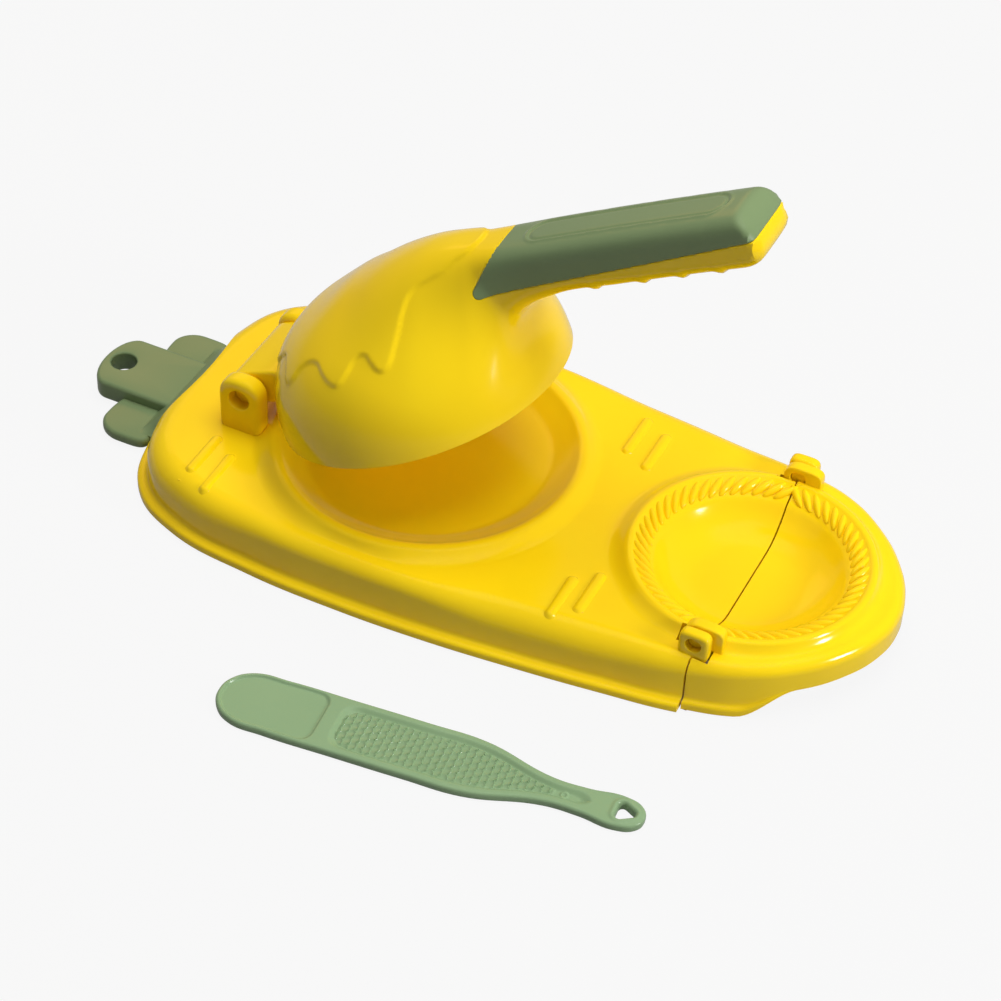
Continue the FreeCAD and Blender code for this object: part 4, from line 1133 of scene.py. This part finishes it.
class Signal:
    """One output of a material's nodes."""

    def __init__(self, tree, socket=None):
        self.tree, self.socket = tree, socket

    def node(self, kind, settings=None, inputs=None, output=0):
        """Adds a node, sets its settings, sets or links its inputs and returns one of its outputs."""
        made = self.tree.nodes.new(kind)
        for key, value in (settings or {}).items():
            setattr(made, key, value)
        for key, value in (inputs or {}).items():
            if isinstance(value, Signal):
                self.tree.links.new(value.socket, made.inputs[key])
            else:
                made.inputs[key].default_value = value
        return Signal(self.tree, made.outputs[output] if made.outputs else None)

    def maths(self, operation, first, second):
        return self.node("ShaderNodeMath", {"operation": operation}, {0: first, 1: second})

    def __add__(self, other):
        return self.maths("ADD", self, other)

    __radd__ = __add__

    def __sub__(self, other):
        return self.maths("SUBTRACT", self, other)

    def __rsub__(self, other):
        return self.maths("SUBTRACT", other, self)

    def __mul__(self, other):
        return self.maths("MULTIPLY", self, other)

    __rmul__ = __mul__


def linear(red, green, blue):
    """Colour for a shader from the 0 to 255 values seen on a screen."""
    parts = [c / 255 for c in (red, green, blue)]
    return tuple(c / 12.92 if c <= 0.04045 else ((c + 0.055) / 1.055) ** 2.4 for c in parts) + (1.0,)


def empty_net(holder):
    """Starts the nodes of a material or world."""
    holder.use_nodes = True
    holder.node_tree.nodes.clear()
    return Signal(holder.node_tree)


print("middle grey for a shader:", round(linear(128, 128, 128)[0], 3))

# %% [markdown]
# ## Moulded plastic
# Yellow shell, sage grip and pale spatula are the same kind of plastic: the colour drifts a little with
# the flow of the melt, the gloss is uneven by a touch, and the skin has a faint orange peel and a finer
# grain. Rubber pads are rougher. All of it follows Object coordinates, so a piece keeps its finish when
# its body moves.

# %% Finishes
MIXED_COLOUR = 2        # a Mix node's output for colours


def plastic(name, colour, deep, rough, peel):
    """Plastic whose colour drifts from colour to deep, with orange peel of that strength."""
    material = bpy.data.materials.new(name)
    net = empty_net(material)
    place = net.node("ShaderNodeTexCoord", output="Object")

    def cloud(scale, detail):
        return net.node("ShaderNodeTexNoise", {}, {"Vector": place, "Scale": scale, "Detail": detail})

    drift = cloud(14.0, 2.0) * 0.7 + cloud(55.0, 3.0) * 0.3
    tone = net.node("ShaderNodeMix", {"data_type": "RGBA"}, {"Factor": drift, "A": colour, "B": deep},
                    MIXED_COLOUR)
    gloss = rough + (cloud(90.0, 4.0) - 0.5) * 0.12
    skin = cloud(260.0, 2.0) * 0.8 + cloud(1800.0, 2.0) * 0.2
    bump = net.node("ShaderNodeBump", {}, {"Height": skin, "Strength": peel, "Distance": 0.0004})
    shader = net.node("ShaderNodeBsdfPrincipled", {}, {
        "Base Color": tone, "Roughness": gloss, "Normal": bump, "IOR": 1.5, "Specular IOR Level": 0.34})
    net.node("ShaderNodeOutputMaterial", {}, {"Surface": shader})
    return material


yellow_plastic = plastic("yellow_plastic", linear(255, 222, 20), linear(252, 207, 14), 0.13, 0.025)
sage_plastic = plastic("sage_plastic", linear(128, 146, 103), linear(114, 136, 94), 0.3, 0.04)
pale_plastic = plastic("pale_green_plastic", linear(144, 171, 130), linear(132, 161, 119), 0.22, 0.04)
pad_rubber = plastic("pad_rubber", linear(222, 219, 212), linear(205, 200, 192), 0.7, 0.4)


def finish_piece(made, material):
    """Gives an object its only material."""
    made.data.materials.clear()
    made.data.materials.append(material)


for made in (base_piece, flap_piece, lid_piece, *pin_pieces):
    finish_piece(made, yellow_plastic)
for made in (cover_piece, leaf_piece):
    finish_piece(made, sage_plastic)
finish_piece(spatula_piece, pale_plastic)
for name, node in frame["nodes"].items():
    if name == "press_plate":
        finish_piece(node, yellow_plastic)
    elif name.startswith("foot_pad"):
        finish_piece(node, pad_rubber)
print("finishes:", ", ".join(finish.name for finish in bpy.data.materials))

# %% [markdown]
# ## The camera
# The camera stands where the photograph was taken, a little rolled. A long lens keeps the maker's lines
# nearly parallel. Turning a camera towards a point is easiest with a track rotation.

# %% Camera
CAMERA_PLACE = (0.3286, -0.6653, 0.6513)
CAMERA_TARGET = (0.03637, -0.01667, 0.00484)
CAMERA_ROLL = math.radians(2.89)
camera_data = bpy.data.cameras.new("camera")
camera_data.lens = 99.44
camera_data.sensor_width = 36.0
camera = placed("camera", camera_data)


def aimed(place, target):
    """Matrix at a place that looks at a target."""
    look = (Vector(target) - Vector(place)).to_track_quat("-Z", "Y")
    return Matrix.Translation(place) @ look.to_matrix().to_4x4()


camera.matrix_world = aimed(CAMERA_PLACE, CAMERA_TARGET) @ Matrix.Rotation(CAMERA_ROLL, 4, "Z")
bpy.context.scene.camera = camera
bpy.context.scene.view_settings.view_transform = "Standard"
print("camera stands", round((Vector(CAMERA_PLACE) - Vector(CAMERA_TARGET)).length, 3), "m from the maker")

# %% [markdown]
# ## Lamps
# Soft light comes from above. It isn't seen in reflections, where so large a lamp would lay a white veil
# on the deck. A small bright window on the right gives the gloss its highlights, and a weak warm lamp
# behind tints the back of the dome.

# %% Three area lamps


def area_light(name, place, target, size, power, colour=(1, 1, 1)):
    data = bpy.data.lights.new(name, "AREA")
    data.shape = "RECTANGLE"
    data.size, data.size_y = size
    data.energy = power
    data.color = colour
    light = placed(name, data)
    light.matrix_world = aimed(place, target)
    return light


overhead = area_light("overhead", (0.12, 0.12, 1.2), (0.03, 0, 0), (1.1, 0.9), 14.0)
overhead.visible_glossy = False
area_light("warm_wall", (-0.75, 0.8, 0.7), (0.0, 0, 0.05), (0.7, 0.5), 1.8, (1.0, 0.5, 0.12))
area_light("window", (1.15, -0.08, 0.52), (0.03, 0, 0.05), (0.17, 0.26), 7.0)
print("lamps:", ", ".join(lamp.name for lamp in bpy.data.lights))

# %% [markdown]
# ## Backdrop and floor
# Both look nearly white to the camera without lighting the maker more: the light path tells a camera
# ray from the rest, and only that ray meets the glow. Reflections meet a weaker one. The floor is matt
# paint under its glow, so it keeps the maker's shadow.

# %% World and floor
WHITE = (1, 1, 1, 1)
PALE, PALE_DEEP = (0.36, 0.36, 0.36, 1), (0.34, 0.34, 0.34, 1)
FLOOR_HALF = 40000.0


def seen_by(net, camera, glossy, glass):
    """Share of the glow that each kind of ray meets."""
    shares = {"Is Camera Ray": camera, "Is Glossy Ray": glossy, "Is Transmission Ray": glass}
    return sum(net.node("ShaderNodeLightPath", output=ray) * share for ray, share in shares.items())


world = bpy.data.worlds.new("studio")
net = empty_net(world)
strength = 0.14 + seen_by(net, 0.78, 0.1, 0.78)
backdrop = net.node("ShaderNodeBackground", {}, {"Color": WHITE, "Strength": strength})
net.node("ShaderNodeOutputWorld", {}, {"Surface": backdrop})
bpy.context.scene.world = world

floor_paint = bpy.data.materials.new("floor_paint")
net = empty_net(floor_paint)
place = net.node("ShaderNodeTexCoord", output="Object")
speck = net.node("ShaderNodeTexNoise", {}, {"Vector": place, "Scale": 6.0})
pale = net.node("ShaderNodeMix", {"data_type": "RGBA"}, {"Factor": speck, "A": PALE, "B": PALE_DEEP},
                MIXED_COLOUR)
paint = net.node("ShaderNodeBsdfDiffuse", {}, {"Color": pale})
glow = net.node("ShaderNodeEmission", {}, {"Color": WHITE, "Strength": 1.0})
both = net.node("ShaderNodeMixShader", {}, {0: seen_by(net, 0.9, 0.25, 0.9), 1: paint, 2: glow})
net.node("ShaderNodeOutputMaterial", {}, {"Surface": both})
floor = bmesh.new()
bmesh.ops.create_grid(floor, x_segments=1, y_segments=1, size=FLOOR_HALF)
floor_object = placed("floor", finished_mesh("floor", floor))
finish_piece(floor_object, floor_paint)
print("floor is", FLOOR_HALF / 500, "m wide")
